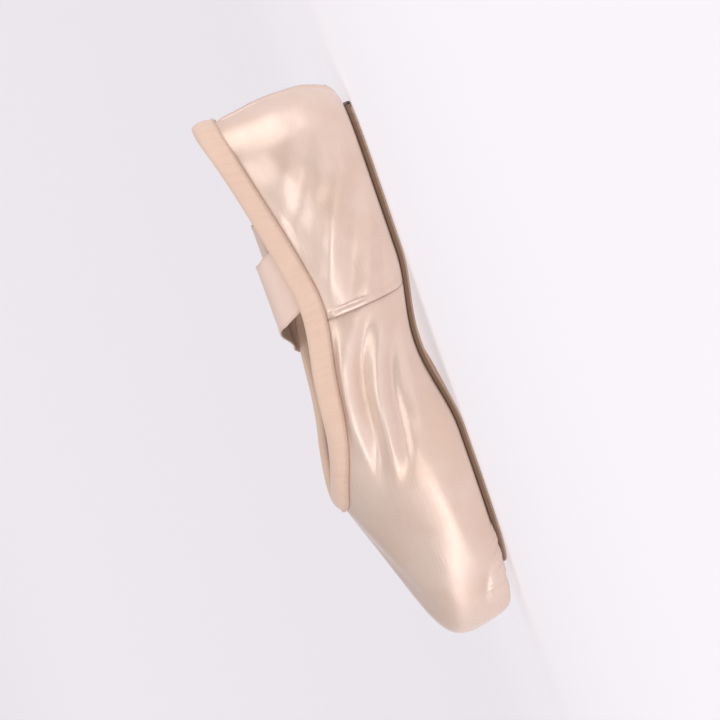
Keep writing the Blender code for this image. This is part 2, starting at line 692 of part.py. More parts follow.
def make_collections():
    """The collection that holds the shoe's parts. Nothing here is cut, so there is none for cutters."""
    parts = bpy.data.collections.new("pointe_shoe")
    bpy.context.scene.collection.children.link(parts)
    return parts


start_empty()
PARTS = make_collections()
make_upper(finish("satin", (0.78, 0.60, 0.50), 0.38, 0.3))
make_outsole(finish("outsole_leather", (0.62, 0.47, 0.35), 0.75))
make_insole(finish("insole_lining", (0.72, 0.62, 0.50), 0.85))
make_binding(finish("binding_tape", (0.76, 0.55, 0.45), 0.65))
RIBBON_SATIN = finish("ribbon_satin", (0.78, 0.61, 0.53), 0.45, 0.2)
make_ribbon("ribbon_inner", INNER_ROUTE, RIBBON_SATIN)
make_ribbon("ribbon_outer", OUTER_ROUTE, RIBBON_SATIN)
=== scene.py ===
# %% [markdown]
# # A pointe shoe in peach satin
# This lesson dresses a finished CAD model of a ballet shoe. The CAD solids stay where they are and
# give the sizes, and every piece that shows is built here again from the same sections, only finer:
# the satin upper with its creases, seams and pleats, the tape round its collar, the leather sole,
# the insole and the two ribbons. The shoe stands on its sole with its toe to -Y and its heel to +Y.
# The inner side, the side of the big toe on a right foot, is at +X. Everything is in metres.

import math
from typing import NamedTuple

import bpy
import numpy as np
from mathutils import Matrix, Vector


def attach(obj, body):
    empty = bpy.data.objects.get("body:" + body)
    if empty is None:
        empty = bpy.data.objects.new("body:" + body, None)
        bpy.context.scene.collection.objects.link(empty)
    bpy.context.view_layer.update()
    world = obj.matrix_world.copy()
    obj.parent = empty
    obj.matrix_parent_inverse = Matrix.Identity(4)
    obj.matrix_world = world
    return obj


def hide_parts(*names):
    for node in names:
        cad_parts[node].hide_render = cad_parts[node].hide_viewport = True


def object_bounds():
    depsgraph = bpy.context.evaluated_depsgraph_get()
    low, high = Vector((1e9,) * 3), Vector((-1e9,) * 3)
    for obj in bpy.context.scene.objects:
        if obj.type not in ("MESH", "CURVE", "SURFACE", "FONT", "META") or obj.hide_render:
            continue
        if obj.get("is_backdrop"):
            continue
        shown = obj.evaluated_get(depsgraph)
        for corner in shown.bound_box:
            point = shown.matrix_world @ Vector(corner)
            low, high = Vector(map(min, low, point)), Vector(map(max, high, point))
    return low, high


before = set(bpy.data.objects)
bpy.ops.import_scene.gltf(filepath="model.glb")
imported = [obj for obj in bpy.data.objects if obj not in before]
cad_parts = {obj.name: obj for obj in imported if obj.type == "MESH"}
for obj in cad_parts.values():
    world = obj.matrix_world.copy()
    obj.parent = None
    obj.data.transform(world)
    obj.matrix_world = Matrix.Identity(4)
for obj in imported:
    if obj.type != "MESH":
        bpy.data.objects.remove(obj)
cad_low, cad_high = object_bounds()
print("CAD box in mm:", [round(v * 1000) for v in (*cad_low, *cad_high)])


def add_object(name, data):
    """A new object in the scene for the given mesh, light or camera."""
    thing = bpy.data.objects.new(name, data)
    bpy.context.scene.collection.objects.link(thing)
    return thing


# %% [markdown]
# ## The camera
# The photographer stood at the shoe's inner side and a little behind it, almost level with the floor,
# with a long lens. The shoe in the picture points its toe down and to the right, so the camera is
# rolled: the heel comes to the top, and the sole and the floor to the right. A camera looks along its
# own -Z, so it is built from three directions: back, up and the roll about the back axis.

# %% Camera
CAMERA_AZIMUTH = math.radians(109)
CAMERA_ELEVATION = math.radians(1.5)
CAMERA_ROLL = math.radians(-110)
CAMERA_LENS = 135
FIELD = 0.290
AIM = Vector((0.0, 0.004, 0.030))


def make_camera():
    """The camera at the photograph's angle, far enough away for the whole shoe to fill the frame."""
    data = bpy.data.cameras.new("camera")
    data.lens = CAMERA_LENS
    camera = add_object("camera", data)
    level = math.cos(CAMERA_ELEVATION)
    back = Vector(
        (math.sin(CAMERA_AZIMUTH) * level, -math.cos(CAMERA_AZIMUTH) * level, math.sin(CAMERA_ELEVATION))
    )
    distance = FIELD * CAMERA_LENS / data.sensor_width
    turn = (-back).to_track_quat("-Z", "Y").to_matrix().to_4x4() @ Matrix.Rotation(CAMERA_ROLL, 4, "Z")
    camera.matrix_world = Matrix.Translation(AIM + back * distance) @ turn
    data.clip_start = 0.05
    data.clip_end = 20.0
    bpy.context.scene.camera = camera
    return camera


make_camera()
print("camera at", [round(v, 3) for v in bpy.context.scene.camera.matrix_world.translation])

# %% [markdown]
# ## Shader expressions
# A material is a net of small nodes. Wiring them by hand hides the sums that they do, so one small
# class stands for a socket and lets its values be added and multiplied as in ordinary Python. Every
# other node comes from one method that takes its type, its settings and what goes into its sockets.


# %% A socket that can be reckoned with
class Wire:
    """What one socket gives, with the operators that the finishes below use."""

    def __init__(self, finish, socket):
        self.finish = finish
        self.socket = socket

    def math(self, operation, first, second):
        return self.finish.node("ShaderNodeMath", {"operation": operation}, {0: first, 1: second})

    def __add__(self, other):
        return self.math("ADD", self, other)

    def __radd__(self, other):
        return self.math("ADD", other, self)

    def __sub__(self, other):
        return self.math("SUBTRACT", self, other)

    def __rsub__(self, other):
        return self.math("SUBTRACT", other, self)

    def __mul__(self, other):
        return self.math("MULTIPLY", self, other)

    def __rmul__(self, other):
        return self.math("MULTIPLY", other, self)

    def __abs__(self):
        return self.finish.node("ShaderNodeMath", {"operation": "ABSOLUTE"}, {0: self})


# %% A finish that grows node by node
class Finish:
    """One material, with a method for its nodes and a few for the textures used again and again."""

    def __init__(self, name):
        self.material = bpy.data.materials.new(name)
        self.material.use_nodes = True
        self.tree = self.material.node_tree
        self.surface = self.tree.nodes["Principled BSDF"]

    def find(self, sockets, key):
        if isinstance(key, int):
            return sockets[key]
        return next(s for s in sockets if key in (s.identifier, s.name))

    def fill(self, node, values):
        for key, value in values.items():
            socket = self.find(node.inputs, key)
            if isinstance(value, Wire):
                self.tree.links.new(value.socket, socket)
            else:
                socket.default_value = value

    def node(self, kind, settings=None, values=None, out=0):
        node = self.tree.nodes.new(kind)
        for name, setting in (settings or {}).items():
            setattr(node, name, setting)
        self.fill(node, values or {})
        return Wire(self, self.find(node.outputs, out))

    def run(self):
        """The piece's own surface measure: metres round it and metres across it."""
        return self.node("ShaderNodeUVMap", {"uv_map": "run"})

    def place(self):
        """The point's place in the shoe's frame, in metres."""
        return self.node("ShaderNodeTexCoord", out="Object")

    def stretched(self, vector, factors):
        """The same coordinates, counted so many times per metre each way."""
        return self.node("ShaderNodeVectorMath", {"operation": "MULTIPLY"}, {0: vector, 1: factors})

    def axis(self, vector, letter):
        return self.node("ShaderNodeSeparateXYZ", {}, {0: vector}, out=letter)

    def noise(self, vector, scale=1.0, detail=2.0, roughness=0.5):
        values = {"Vector": vector, "Scale": scale, "Detail": detail, "Roughness": roughness}
        return self.node("ShaderNodeTexNoise", {}, values)

    def between(self, value, low, high):
        """0 below low, 1 above high, and a soft ramp between."""
        settings = {"interpolation_type": "SMOOTHSTEP", "clamp": True}
        return self.node("ShaderNodeMapRange", settings, {"Value": value, "From Min": low, "From Max": high})

    def mix(self, share, first, second):
        settings = {"data_type": "RGBA"}
        values = {"Factor_Float": share, "A_Color": first, "B_Color": second}
        return self.node("ShaderNodeMix", settings, values, out="Result_Color")

    def bump(self, height, depth):
        """Surface relief from a height of 0 to 1, so deep in metres."""
        return self.node("ShaderNodeBump", {}, {"Height": height, "Distance": depth, "Strength": 1.0})

    def paint(self, **values):
        """Sets the shader's own sockets, with _ for a space in their names."""
        self.fill(self.surface, {name.replace("_", " "): value for name, value in values.items()})
        return self.material


# %% [markdown]
# ## The ribbons' satin
# A shoe ribbon is a narrow woven satin, duller than the shoe itself, with a firm woven edge on each
# side. Its weft shows as fine bars across and its floats as a soft grain along it. Both are bump, far
# too small for geometry. The edge is told by the distance across, which the second coordinate holds.

# %% Ribbon satin
RIBBON_WIDTH = 0.025
SELVEDGE = 0.0012


def make_ribbon_satin():
    """Soft satin ribbon with its woven edges."""
    cloth = Finish("ribbon_satin")
    run = cloth.run()
    from_middle = abs(cloth.axis(run, "Y"))
    edge = cloth.between(from_middle, RIBBON_WIDTH / 2 - SELVEDGE * 1.2, RIBBON_WIDTH / 2 - SELVEDGE * 0.8)
    floats = cloth.noise(cloth.stretched(run, (180, 4200, 0)), detail=3.0)
    weft = cloth.noise(cloth.stretched(run, (3400, 160, 0)), detail=2.0)
    cloud = cloth.noise(cloth.place(), scale=60, detail=2.0)
    shade = cloth.mix(cloud * 0.5, (0.80, 0.62, 0.53, 1), (0.73, 0.54, 0.45, 1))
    colour = cloth.mix(edge * 0.45, shade, (0.72, 0.52, 0.42, 1))
    relief = floats * 0.5 + weft * 0.35 + edge * 0.8
    return cloth.paint(
        Base_Color=colour,
        Roughness=0.40 + 0.16 * edge + 0.10 * floats,
        Sheen_Weight=0.35,
        Sheen_Roughness=0.4,
        Sheen_Tint=(1.0, 0.9, 0.85, 1.0),
        Specular_IOR_Level=0.45,
        Normal=cloth.bump(relief, 0.00006),
    )


RIBBON_SATIN = make_ribbon_satin()
print("ribbon satin:", len(RIBBON_SATIN.node_tree.nodes), "nodes")

# %% [markdown]
# ## Two ribbons that lie beside the shoe
# A ribbon is a flat cord: it bends easily over its face and hardly at all in its own plane. Each is
# sewn inside the shoe, just behind the side seam. It comes up over the collar and falls down the outer
# side to the floor. There it turns by standing on its edge, as a real ribbon does. The route is a short
# list of points with the heading of the width and its lean. A smooth curve through them carries a
# thin closed strip, whose second coordinate tells how far across the ribbon a point is.


# %% The ribbons' routes
class Bend(NamedTuple):
    """One point of a ribbon's middle line, with z the height of its lower edge, the plan heading of the
    section there in degrees, and how far that section leans from level, also in degrees."""

    x: float
    y: float
    z: float
    across: float
    lean: float


INNER_ROUTE = (
    Bend(0.0201, 0.0580, 0.0360, 95, 0),
    Bend(0.0196, 0.0543, 0.0425, 95, 0),
    Bend(0.0189, 0.0509, 0.0485, 94, 0),
    Bend(0.0170, 0.0478, 0.0533, 92, 0),
    Bend(0.0124, 0.0446, 0.0560, 91, 0),
    Bend(0.0040, 0.0395, 0.0556, 90, 0),
    Bend(-0.0060, 0.0337, 0.0537, 90, 0),
    Bend(-0.0160, 0.0280, 0.0525, 90, 0),
    Bend(-0.0235, 0.0238, 0.0527, 90, 0),
    Bend(-0.0290, 0.0206, 0.0510, 90, 0),
    Bend(-0.0330, 0.0161, 0.0440, 90, 0),
    Bend(-0.0355, 0.0100, 0.0335, 90, 0),
    Bend(-0.0380, 0.0037, 0.0225, 90, 0),
    Bend(-0.0405, -0.0024, 0.0120, 90, 0),
    Bend(-0.0450, -0.0073, 0.0045, 90, 0),
    Bend(-0.0530, -0.0122, 0.0012, 92, 0),
    Bend(-0.0650, -0.0185, 0.0007, 104, 0),
    Bend(-0.0790, -0.0265, 0.0007, 126, -14),
    Bend(-0.0900, -0.0400, 0.0007, 152, -32),
    Bend(-0.0940, -0.0580, 0.0007, 178, -38),
    Bend(-0.0890, -0.0780, 0.0007, 198, -26),
    Bend(-0.0800, -0.0970, 0.0007, 200, -4),
    Bend(-0.0750, -0.1170, 0.0007, 182, 20),
    Bend(-0.0800, -0.1350, 0.0007, 144, 42),
    Bend(-0.0960, -0.1440, 0.0007, 100, 50),
    Bend(-0.1140, -0.1390, 0.0007, 58, 46),
    Bend(-0.1260, -0.1220, 0.0007, 26, 32),
    Bend(-0.1300, -0.1000, 0.0007, 4, 12),
    Bend(-0.1290, -0.0800, 0.0007, 0, 0),
)
OUTER_ROUTE = (
    Bend(-0.0206, 0.0530, 0.0314, 85, 0),
    Bend(-0.0201, 0.0530, 0.0389, 85, 0),
    Bend(-0.0193, 0.0530, 0.0459, 85, 0),
    Bend(-0.0203, 0.0530, 0.0506, 85, 0),
    Bend(-0.0238, 0.0530, 0.0523, 86, 0),
    Bend(-0.0274, 0.0530, 0.0504, 86, 0),
    Bend(-0.0294, 0.0530, 0.0444, 86, 0),
    Bend(-0.0305, 0.0530, 0.0344, 87, 0),
    Bend(-0.0313, 0.0530, 0.0224, 88, 0),
    Bend(-0.0335, 0.0530, 0.0110, 90, 0),
    Bend(-0.0400, 0.0530, 0.0032, 90, 0),
    Bend(-0.0520, 0.0536, 0.0008, 86, 2),
    Bend(-0.0720, 0.0570, 0.0007, 76, 8),
    Bend(-0.0910, 0.0660, 0.0007, 68, 6),
    Bend(-0.1110, 0.0740, 0.0007, 80, -12),
    Bend(-0.1320, 0.0730, 0.0007, 108, -34),
    Bend(-0.1480, 0.0590, 0.0007, 138, -48),
    Bend(-0.1540, 0.0380, 0.0007, 168, -46),
    Bend(-0.1510, 0.0150, 0.0007, 186, -30),
    Bend(-0.1450, -0.0070, 0.0007, 190, -8),
    Bend(-0.1440, -0.0300, 0.0007, 176, 12),
    Bend(-0.1520, -0.0510, 0.0007, 158, 24),
    Bend(-0.1640, -0.0700, 0.0007, 150, 16),
    Bend(-0.1740, -0.0900, 0.0007, 160, -4),
    Bend(-0.1760, -0.1120, 0.0007, 184, -22),
    Bend(-0.1680, -0.1320, 0.0007, 208, -16),
    Bend(-0.1570, -0.1490, 0.0007, 212, 0),
)
print("route points:", len(INNER_ROUTE), len(OUTER_ROUTE))


# %% A smooth curve through a table's rows
def eased(rows, count):
    """Evenly many stations on the smooth curve through the rows of a route."""
    rows = np.asarray(rows, float)
    ends = np.concatenate([[2 * rows[0] - rows[1]], rows, [2 * rows[-1] - rows[-2]]])
    stations = []
    for place in np.linspace(0.0, len(rows) - 1, count):
        k = min(int(place), len(rows) - 2)
        t = place - k
        a, b, c, d = ends[k : k + 4]
        curve = 2 * b + (c - a) * t + (2 * a - 5 * b + 4 * c - d) * t**2 + (3 * b - a - 3 * c + d) * t**3
        stations.append(curve / 2)
    return np.array(stations)


def unit(vectors):
    """The same directions, each of length one."""
    return vectors / np.linalg.norm(vectors, axis=-1, keepdims=True)


def run_along(points):
    """How far along a line each of its points is."""
    steps = np.linalg.norm(np.diff(points, axis=0), axis=1)
    return np.concatenate([[0.0], np.cumsum(steps)])


# %% A closed grid of faces with its surface measure
def grid_piece(name, loops, runs, materials, closed=True, slots=None):
    """A mesh of closed loops side by side. runs holds each point's two surface measures. closed joins
    the last loop to the first, otherwise both ends are covered. slots gives each strip its material."""
    count, size = loops.shape[:2]
    spans = count if closed else count - 1
    here = np.arange(spans)[:, None] * size
    there = (np.arange(1, spans + 1) % count)[:, None] * size
    k = np.arange(size)[None, :]
    after = (k + 1) % size
    quads = np.stack([here + k, there + k, there + after, here + after], axis=2).reshape(-1, 4)
    faces = quads.tolist()
    if not closed:
        faces += [list(range(size))[::-1], [(count - 1) * size + n for n in range(size)]]
    mesh = bpy.data.meshes.new(name)
    mesh.from_pydata(loops.reshape(-1, 3).tolist(), [], faces)
    layer = mesh.uv_layers.new(name="run")
    corners = np.zeros(len(mesh.loops), dtype=np.int32)
    mesh.loops.foreach_get("vertex_index", corners)
    layer.data.foreach_set("uv", runs.reshape(-1, 2)[corners].astype(np.float32).ravel())
    for material in materials:
        mesh.materials.append(material)
    if slots is not None:
        kinds = np.zeros(len(mesh.polygons), dtype=np.int32)
        kinds[: spans * size] = np.tile(slots, spans)
        mesh.polygons.foreach_set("material_index", kinds)
    mesh.shade_smooth()
    return add_object(name, mesh)


# %% The two ribbons
RIBBON_STATIONS = 260
RIBBON_THICKNESS = 0.0006
RIBBON_ACROSS = (-0.5, -0.46, -0.4, -0.2, 0.0, 0.2, 0.4, 0.46, 0.5)
RIBBON_EDGE, RIBBON_THINS = 0.45, 0.72


def make_ribbon(name, route):
    """A thin closed strip along the route."""
    stations = eased(route, RIBBON_STATIONS)
    middle = stations[:, :3].copy()
    forward = unit(np.gradient(middle, axis=0))
    across, lean = np.radians(stations[:, 3]), np.radians(stations[:, 4])
    width = np.stack([np.cos(across) * np.cos(lean), np.sin(across) * np.cos(lean), np.sin(lean)], axis=1)
    face = np.cross(forward, width)
    square_on = np.linalg.norm(face, axis=1, keepdims=True)
    face, width = face / square_on, width / square_on
    middle[:, 2] += np.hypot(width[:, 2] * RIBBON_WIDTH, RIBBON_THICKNESS) / 2
    edge = [1.0 if abs(share) > RIBBON_EDGE else RIBBON_THINS for share in RIBBON_ACROSS]
    rim = [(s, -0.5 * t) for s, t in zip(RIBBON_ACROSS, edge, strict=True)]
    rim += [(s, 0.5 * t) for s, t in zip(RIBBON_ACROSS[::-1], edge, strict=True)]
    loops = np.stack(
        [middle + width * (RIBBON_WIDTH * s) + face * (RIBBON_THICKNESS * t) for s, t in rim], axis=1
    )
    along = run_along(middle)
    runs = np.stack([np.broadcast_to(along[:, None], loops.shape[:2]), loops[:, :, 0] * 0], axis=2)
    runs[:, :, 1] = [RIBBON_WIDTH * s for s, _ in rim]
    piece = grid_piece(name + "_satin", loops, runs, [RIBBON_SATIN], closed=False)
    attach(piece, "root")
    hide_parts(name)
    print(name, "length in mm:", round(float(along[-1]) * 1000))
    return piece


make_ribbon("ribbon_inner", INNER_ROUTE)
make_ribbon("ribbon_outer", OUTER_ROUTE)

# %% [markdown]
# ## The upper's form
# A pointe shoe is lasted: satin and canvas are pulled over a wooden foot and glued to a thin sole.
# So the surface is set by sections that stand round the foot, from the middle of the heel along the
# inner side to the middle of the toe, and the other side is their mirror. Each section has eight
# corner points from the turned-in margin under the foot up to the collar. A cubic B-spline runs round
# through the sections and another runs up each of them. It is worked out in a few lines of matrix
# sums, which is why no hand-made faces are needed: a point exists for every place and level.

# %% The shoe's driving sizes
LENGTH = 0.238
BALL = 0.081 / 2
WAIST = 0.059 / 2
HEEL = 0.057 / 2
TIP = 0.050 / 2
HEEL_HEIGHT = 0.058
SIDE_HEIGHT = 0.041
THROAT_HEIGHT = 0.056
PLATFORM_HEIGHT = 0.031
THROAT_AT = LENGTH - 0.074
ARCH_RISE, ARCH_FROM, ARCH_TO = 0.005, 0.30, 0.62
TOE_SPRING, SPRING_FROM = 0.003, 0.80
OUTSOLE_THICKNESS = 0.0025
SEAT_HEIGHT = OUTSOLE_THICKNESS + 0.0003
QUARTER_WALL, BOX_WALL, MARGIN_WALL = 0.0014, 0.0028, 0.0015
HEEL_MARGIN, TOE_MARGIN = 0.012, 0.020
MARGIN_WIDENS = (106, 158)
SPRING_MOST = 1.2
print("length in mm:", LENGTH * 1000)


# %% The sections' tables
class Outline(NamedTuple):
    """Where one section stands, seen from above: half the width that the sides follow, shares of it and
    of the length for foot and rim, the section's heading, and the collar's height as a share of top."""

    half: float
    foot_side: float
    foot_along: float
    turn: float
    rim_side: float
    rim_along: float
    top: float
    rim_up: float


class Wall(NamedTuple):
    """How far one section's corners stand out, and how high, as shares of low and of the rim."""

    low: float
    belly_out: float
    belly_up: float
    wall_out: float
    wall_up: float
    shoulder_in: float
    shoulder_out: float
    shoulder_up: float
    crown_in: float
    crown_up: float


OUTLINES = (
    Outline(HEEL, 0.00, 0.030, 0, 0.00, 0.019, HEEL_HEIGHT, 1.000),
    Outline(HEEL, 0.54, 0.059, 45, 0.50, 0.058, HEEL_HEIGHT, 0.965),
    Outline(HEEL, 0.76, 0.130, 84, 0.72, 0.172, HEEL_HEIGHT, 0.880),
    Outline(HEEL, 0.76, 0.250, 90, 0.80, 0.370, SIDE_HEIGHT, 1.090),
    Outline(WAIST, 0.75, 0.370, 90, 0.87, 0.550, SIDE_HEIGHT, 1.000),
    Outline(WAIST, 0.88, 0.483, 90, 0.90, 0.705, SIDE_HEIGHT, 1.050),
    Outline(BALL, 0.76, 0.580, 90, 0.58, 0.835, THROAT_HEIGHT, 0.880),
    Outline(BALL, 0.83, 0.660, 96, 0.46, 0.925, THROAT_HEIGHT, 0.955),
    Outline(BALL, 0.84, 0.735, 106, 0.31, 0.977, THROAT_HEIGHT, 0.988),
    Outline(BALL, 0.79, 0.810, 116, 0.20, 0.994, THROAT_HEIGHT, 0.998),
    Outline(BALL, 0.70, 0.880, 124, 0.12, 0.999, THROAT_HEIGHT, 1.000),
    Outline(TIP, 0.97, 0.938, 136, 0.12, 1.000, THROAT_HEIGHT, 1.000),
    Outline(TIP, 0.72, 0.972, 158, 0.06, 1.000, THROAT_HEIGHT, 1.000),
    Outline(TIP, 0.38, 0.980, 172, 0.03, 1.000, THROAT_HEIGHT, 1.000),
    Outline(TIP, 0.00, 0.981, 180, 0.00, 1.000, THROAT_HEIGHT, 1.000),
)
WALLS = (
    Wall(HEEL_HEIGHT, 0.19, 0.140, 0.27, 0.38, 0.0, 0.20, 0.69, 0.9, 0.87),
    Wall(HEEL_HEIGHT, 0.19, 0.140, 0.27, 0.38, 0.0, 0.19, 0.66, 0.9, 0.87),
    Wall(HEEL_HEIGHT, 0.18, 0.155, 0.27, 0.39, 0.0, 0.17, 0.61, 0.5, 0.87),
    Wall(SIDE_HEIGHT, 0.19, 0.210, 0.28, 0.49, 0.0, 0.22, 0.78, 0.8, 0.87),
    Wall(SIDE_HEIGHT, 0.19, 0.200, 0.28, 0.46, 0.5, 0.18, 0.73, 1.0, 0.88),
    Wall(SIDE_HEIGHT, 0.20, 0.200, 0.29, 0.47, 0.0, 0.21, 0.76, 0.6, 0.89),
    Wall(THROAT_HEIGHT, 0.16, 0.143, 0.22, 0.36, 0.0, 0.09, 0.63, 0.4, 0.90),
    Wall(THROAT_HEIGHT, 0.16, 0.143, 0.22, 0.37, 0.0, 0.02, 0.68, 0.55, 0.92),
    Wall(THROAT_HEIGHT, 0.15, 0.143, 0.19, 0.37, 0.10, 0.02, 0.67, 0.60, 0.89),
    Wall(PLATFORM_HEIGHT, 0.13, 0.26, 0.16, 0.70, 0.07, 0.00, 1.15, 0.52, 0.86),
    Wall(PLATFORM_HEIGHT, 0.10, 0.26, 0.14, 0.72, 0.05, 0.00, 1.10, 0.45, 0.81),
    Wall(PLATFORM_HEIGHT, 0.10, 0.26, 0.20, 0.72, 0.05, 0.00, 1.02, 0.42, 0.765),
    Wall(PLATFORM_HEIGHT, 0.10, 0.26, 0.24, 0.76, 0.06, 0.00, 1.07, 0.42, 0.765),
    Wall(PLATFORM_HEIGHT, 0.10, 0.26, 0.26, 0.80, 0.07, 0.00, 1.11, 0.42, 0.775),
    Wall(PLATFORM_HEIGHT, 0.10, 0.26, 0.27, 0.81, 0.07, 0.00, 1.13, 0.42, 0.785),
)
TOE = len(OUTLINES) - 1
RING = 2 * TOE
print("sections round the shoe:", RING)


# %% From sections to a net of corners
def smooth(low, high, value):
    """0 below low, 1 above high, and an even curve between."""
    share = np.clip((value - low) / (high - low), 0.0, 1.0)
    return share * share * (3.0 - 2.0 * share)


def rise(along):
    """The height of the sole's line over the floor: flat under heel and ball, arched between."""
    share = np.clip((along / LENGTH - ARCH_FROM) / (ARCH_TO - ARCH_FROM), 0.0, 1.0)
    spring = np.clip((along / LENGTH - SPRING_FROM) / (1.0 - SPRING_FROM), 0.0, SPRING_MOST)
    return ARCH_RISE * np.sin(math.pi * share) ** 2 + TOE_SPRING * spring**2


def section_corners(outline, wall):
    """One section's eight corner points, as side, along and up, from the margin to the rim."""
    margin = HEEL_MARGIN + (TOE_MARGIN - HEEL_MARGIN) * smooth(*MARGIN_WIDENS, outline.turn)
    heading = math.radians(outline.turn)
    inward = np.array([-math.sin(heading), math.cos(heading)])
    foot = np.array([outline.half * outline.foot_side, LENGTH * outline.foot_along])
    rim = np.array([outline.half * outline.rim_side, THROAT_AT * outline.rim_along])
    rim_up = outline.top * outline.rim_up

    def corner(share_in, out, up):
        return (*(foot + (rim - foot) * share_in - inward * outline.half * out), up)

    return (
        (*(foot + inward * margin), 0.0),
        (*(foot + inward * margin / 2), 0.0),
        (*foot, 0.0),
        corner(0.0, wall.belly_out, wall.low * wall.belly_up),
        corner(0.0, wall.wall_out, wall.low * wall.wall_up),
        corner(wall.shoulder_in, wall.shoulder_out, wall.low * wall.shoulder_up),
        corner(wall.crown_in, 0.0, rim_up * wall.crown_up),
        (*rim, rim_up),
    )


def ring_net():
    """The corner points all round the shoe, set so that the surface passes through every section."""
    inner = np.array([section_corners(o, w) for o, w in zip(OUTLINES, WALLS, strict=True)])
    outer = inner[-2:0:-1] * np.array([-1.0, 1.0, 1.0])
    sections = np.concatenate([inner, outer])
    around = np.eye(RING)
    mixing = (4.0 * around + np.roll(around, 1, axis=1) + np.roll(around, -1, axis=1)) / 6.0
    return np.linalg.solve(mixing, sections.reshape(RING, -1)).reshape(sections.shape)


NET = ring_net()
CORNERS = NET.shape[1]
print("net of corners:", NET.shape)


# %% A point for every place and level
BOX_BEGINS = (6.8, 9.2)
RIM_THINS = (0.80, 0.92)
MARGIN_THICKENS = (0.12, 0.40)
SMALL_STEP = 1e-3
JUST_BELOW = 1.0 - 1e-9


def ring_weights(places):
    """How much each section counts at the given places round the shoe."""
    places = np.asarray(places, float)
    whole = np.floor(places).astype(int)
    part = places - whole
    blend = (
        (1 - part) ** 3 / 6,
        (3 * part**3 - 6 * part**2 + 4) / 6,
        (-3 * part**3 + 3 * part**2 + 3 * part + 1) / 6,
        part**3 / 6,
    )
    weights = np.zeros((len(places), RING))
    for step, share in enumerate(blend):
        np.add.at(weights, (np.arange(len(places)), (whole - 1 + step) % RING), share)
    return weights


def height_weights(levels):
    """How much each corner point of a section counts at levels from 0, the margin, to 1, the rim."""
    spans = CORNERS - 3
    knots = np.concatenate([[0.0] * 3, np.linspace(0.0, 1.0, spans + 1), [1.0] * 3])
    levels = np.clip(levels, 0.0, JUST_BELOW)
    weights = [(knots[k] <= levels) & (levels < knots[k + 1]) for k in range(len(knots) - 1)]
    weights = [w.astype(float) for w in weights]
    for degree in range(1, 4):
        raised = []
        for k in range(len(weights) - 1):
            rising = knots[k + degree] - knots[k]
            falling = knots[k + degree + 1] - knots[k + 1]
            left = (levels - knots[k]) / rising * weights[k] if rising > 0 else 0.0
            right = (knots[k + degree + 1] - levels) / falling * weights[k + 1] if falling > 0 else 0.0
            raised.append(left + right)
        weights = raised
    return np.stack(weights, axis=-1)


def by_column(places, levels):
    """The levels as a table with a row for each place, also where all places share one list."""
    levels = np.atleast_2d(np.asarray(levels, float))
    return np.broadcast_to(levels, (len(places), levels.shape[1]))


def form(places, levels):
    """Points of the upper's smooth outer surface, one row for each place round the shoe."""
    net = np.tensordot(ring_weights(places), NET, axes=(1, 0))
    heights = height_weights(by_column(places, levels))
    side, along, up = np.moveaxis(np.einsum("pkc,plk->plc", net, heights), 2, 0)
    return np.stack([side, LENGTH / 2 - along, up + SEAT_HEIGHT + rise(along)], axis=2)


def outward(places, levels):
    """The surface's unit normals, pointing out of the shoe."""
    step = SMALL_STEP
    levels = np.clip(by_column(places, levels), step, 1.0 - step)
    around = form(np.asarray(places) + step, levels) - form(np.asarray(places) - step, levels)
    upward = form(places, levels + step) - form(places, levels - step)
    return unit(np.cross(upward, around))


def from_heel(places):
    """How many sections each place is from the heel's middle, on either side."""
    places = np.asarray(places, float) % RING
    return np.minimum(places, RING - places)


def wall_thickness(places, levels):
    """Thin in the quarters and the margin, thick where paste stiffens the box."""
    side = QUARTER_WALL + (BOX_WALL - QUARTER_WALL) * smooth(*BOX_BEGINS, from_heel(places))[:, None]
    levels = by_column(places, levels)
    rim = (QUARTER_WALL - side) * smooth(*RIM_THINS, levels)
    return MARGIN_WALL + (side - MARGIN_WALL) * smooth(*MARGIN_THICKENS, levels) + rim


# %% Measures on the surface
LINE_STEPS = 161
HALF_PLACE = 0.05


def up_from_margin(places):
    """The distance run up each column, at evenly many levels."""
    lines = form(places, np.linspace(0.0, 1.0, LINE_STEPS))
    steps = np.linalg.norm(np.diff(lines, axis=1), axis=2)
    return np.concatenate([np.zeros((len(lines), 1)), np.cumsum(steps, axis=1)], axis=1)


def below_rim(places, levels):
    """How far each point lies below the collar's edge, along the surface."""
    fine = np.linspace(0.0, 1.0, LINE_STEPS)
    run = up_from_margin(places)
    levels = by_column(places, levels)
    return np.array([row[-1] - np.interp(own, fine, row) for own, row in zip(levels, run, strict=True)])


def level_below_rim(places, distance):
    """The level on each column that lies the given distance below the collar's edge, as a column."""
    fine = np.linspace(0.0, 1.0, LINE_STEPS)
    return np.array([[np.interp(row[-1] - distance, row, fine)] for row in up_from_margin(places)])


def foot_line(places, inset=0.0):
    """Points of the sole's edge in plan, as side and along, moved in by inset."""
    net = np.tensordot(ring_weights(places), NET, axes=(1, 0))
    edge = net[:, 2, :2]
    return edge + unit(net[:, 0, :2] - edge) * np.asarray(inset).reshape(-1, 1)


def place_step(place):
    """How many metres of the sole's edge one unit of place takes here."""
    pair = foot_line([place - HALF_PLACE, place + HALF_PLACE])
    return float(np.linalg.norm(pair[1] - pair[0])) / (2 * HALF_PLACE)


print("sole edge per section at the heel in mm:", round(place_step(0.0) * 1000, 1))

# %% [markdown]
# ## Seams, pleats and creases
# The satin is joined at the back of the heel and at each side, where the quarters meet the vamp: a
# ridge on the quarter's side and a small step down to the vamp. Under the toe the satin is gathered in
# pleats that fade up the platform. The creases are what a foot has left: a slack fold across the
# quarter, and long ridges and troughs in the vamp that run from the seam to the throat. Each is a soft
# line on the shoe's side, given by where it starts and ends in the shoe's own sizes, and is added
# along the surface's normal. Gloss shows such relief better than any painted shade.

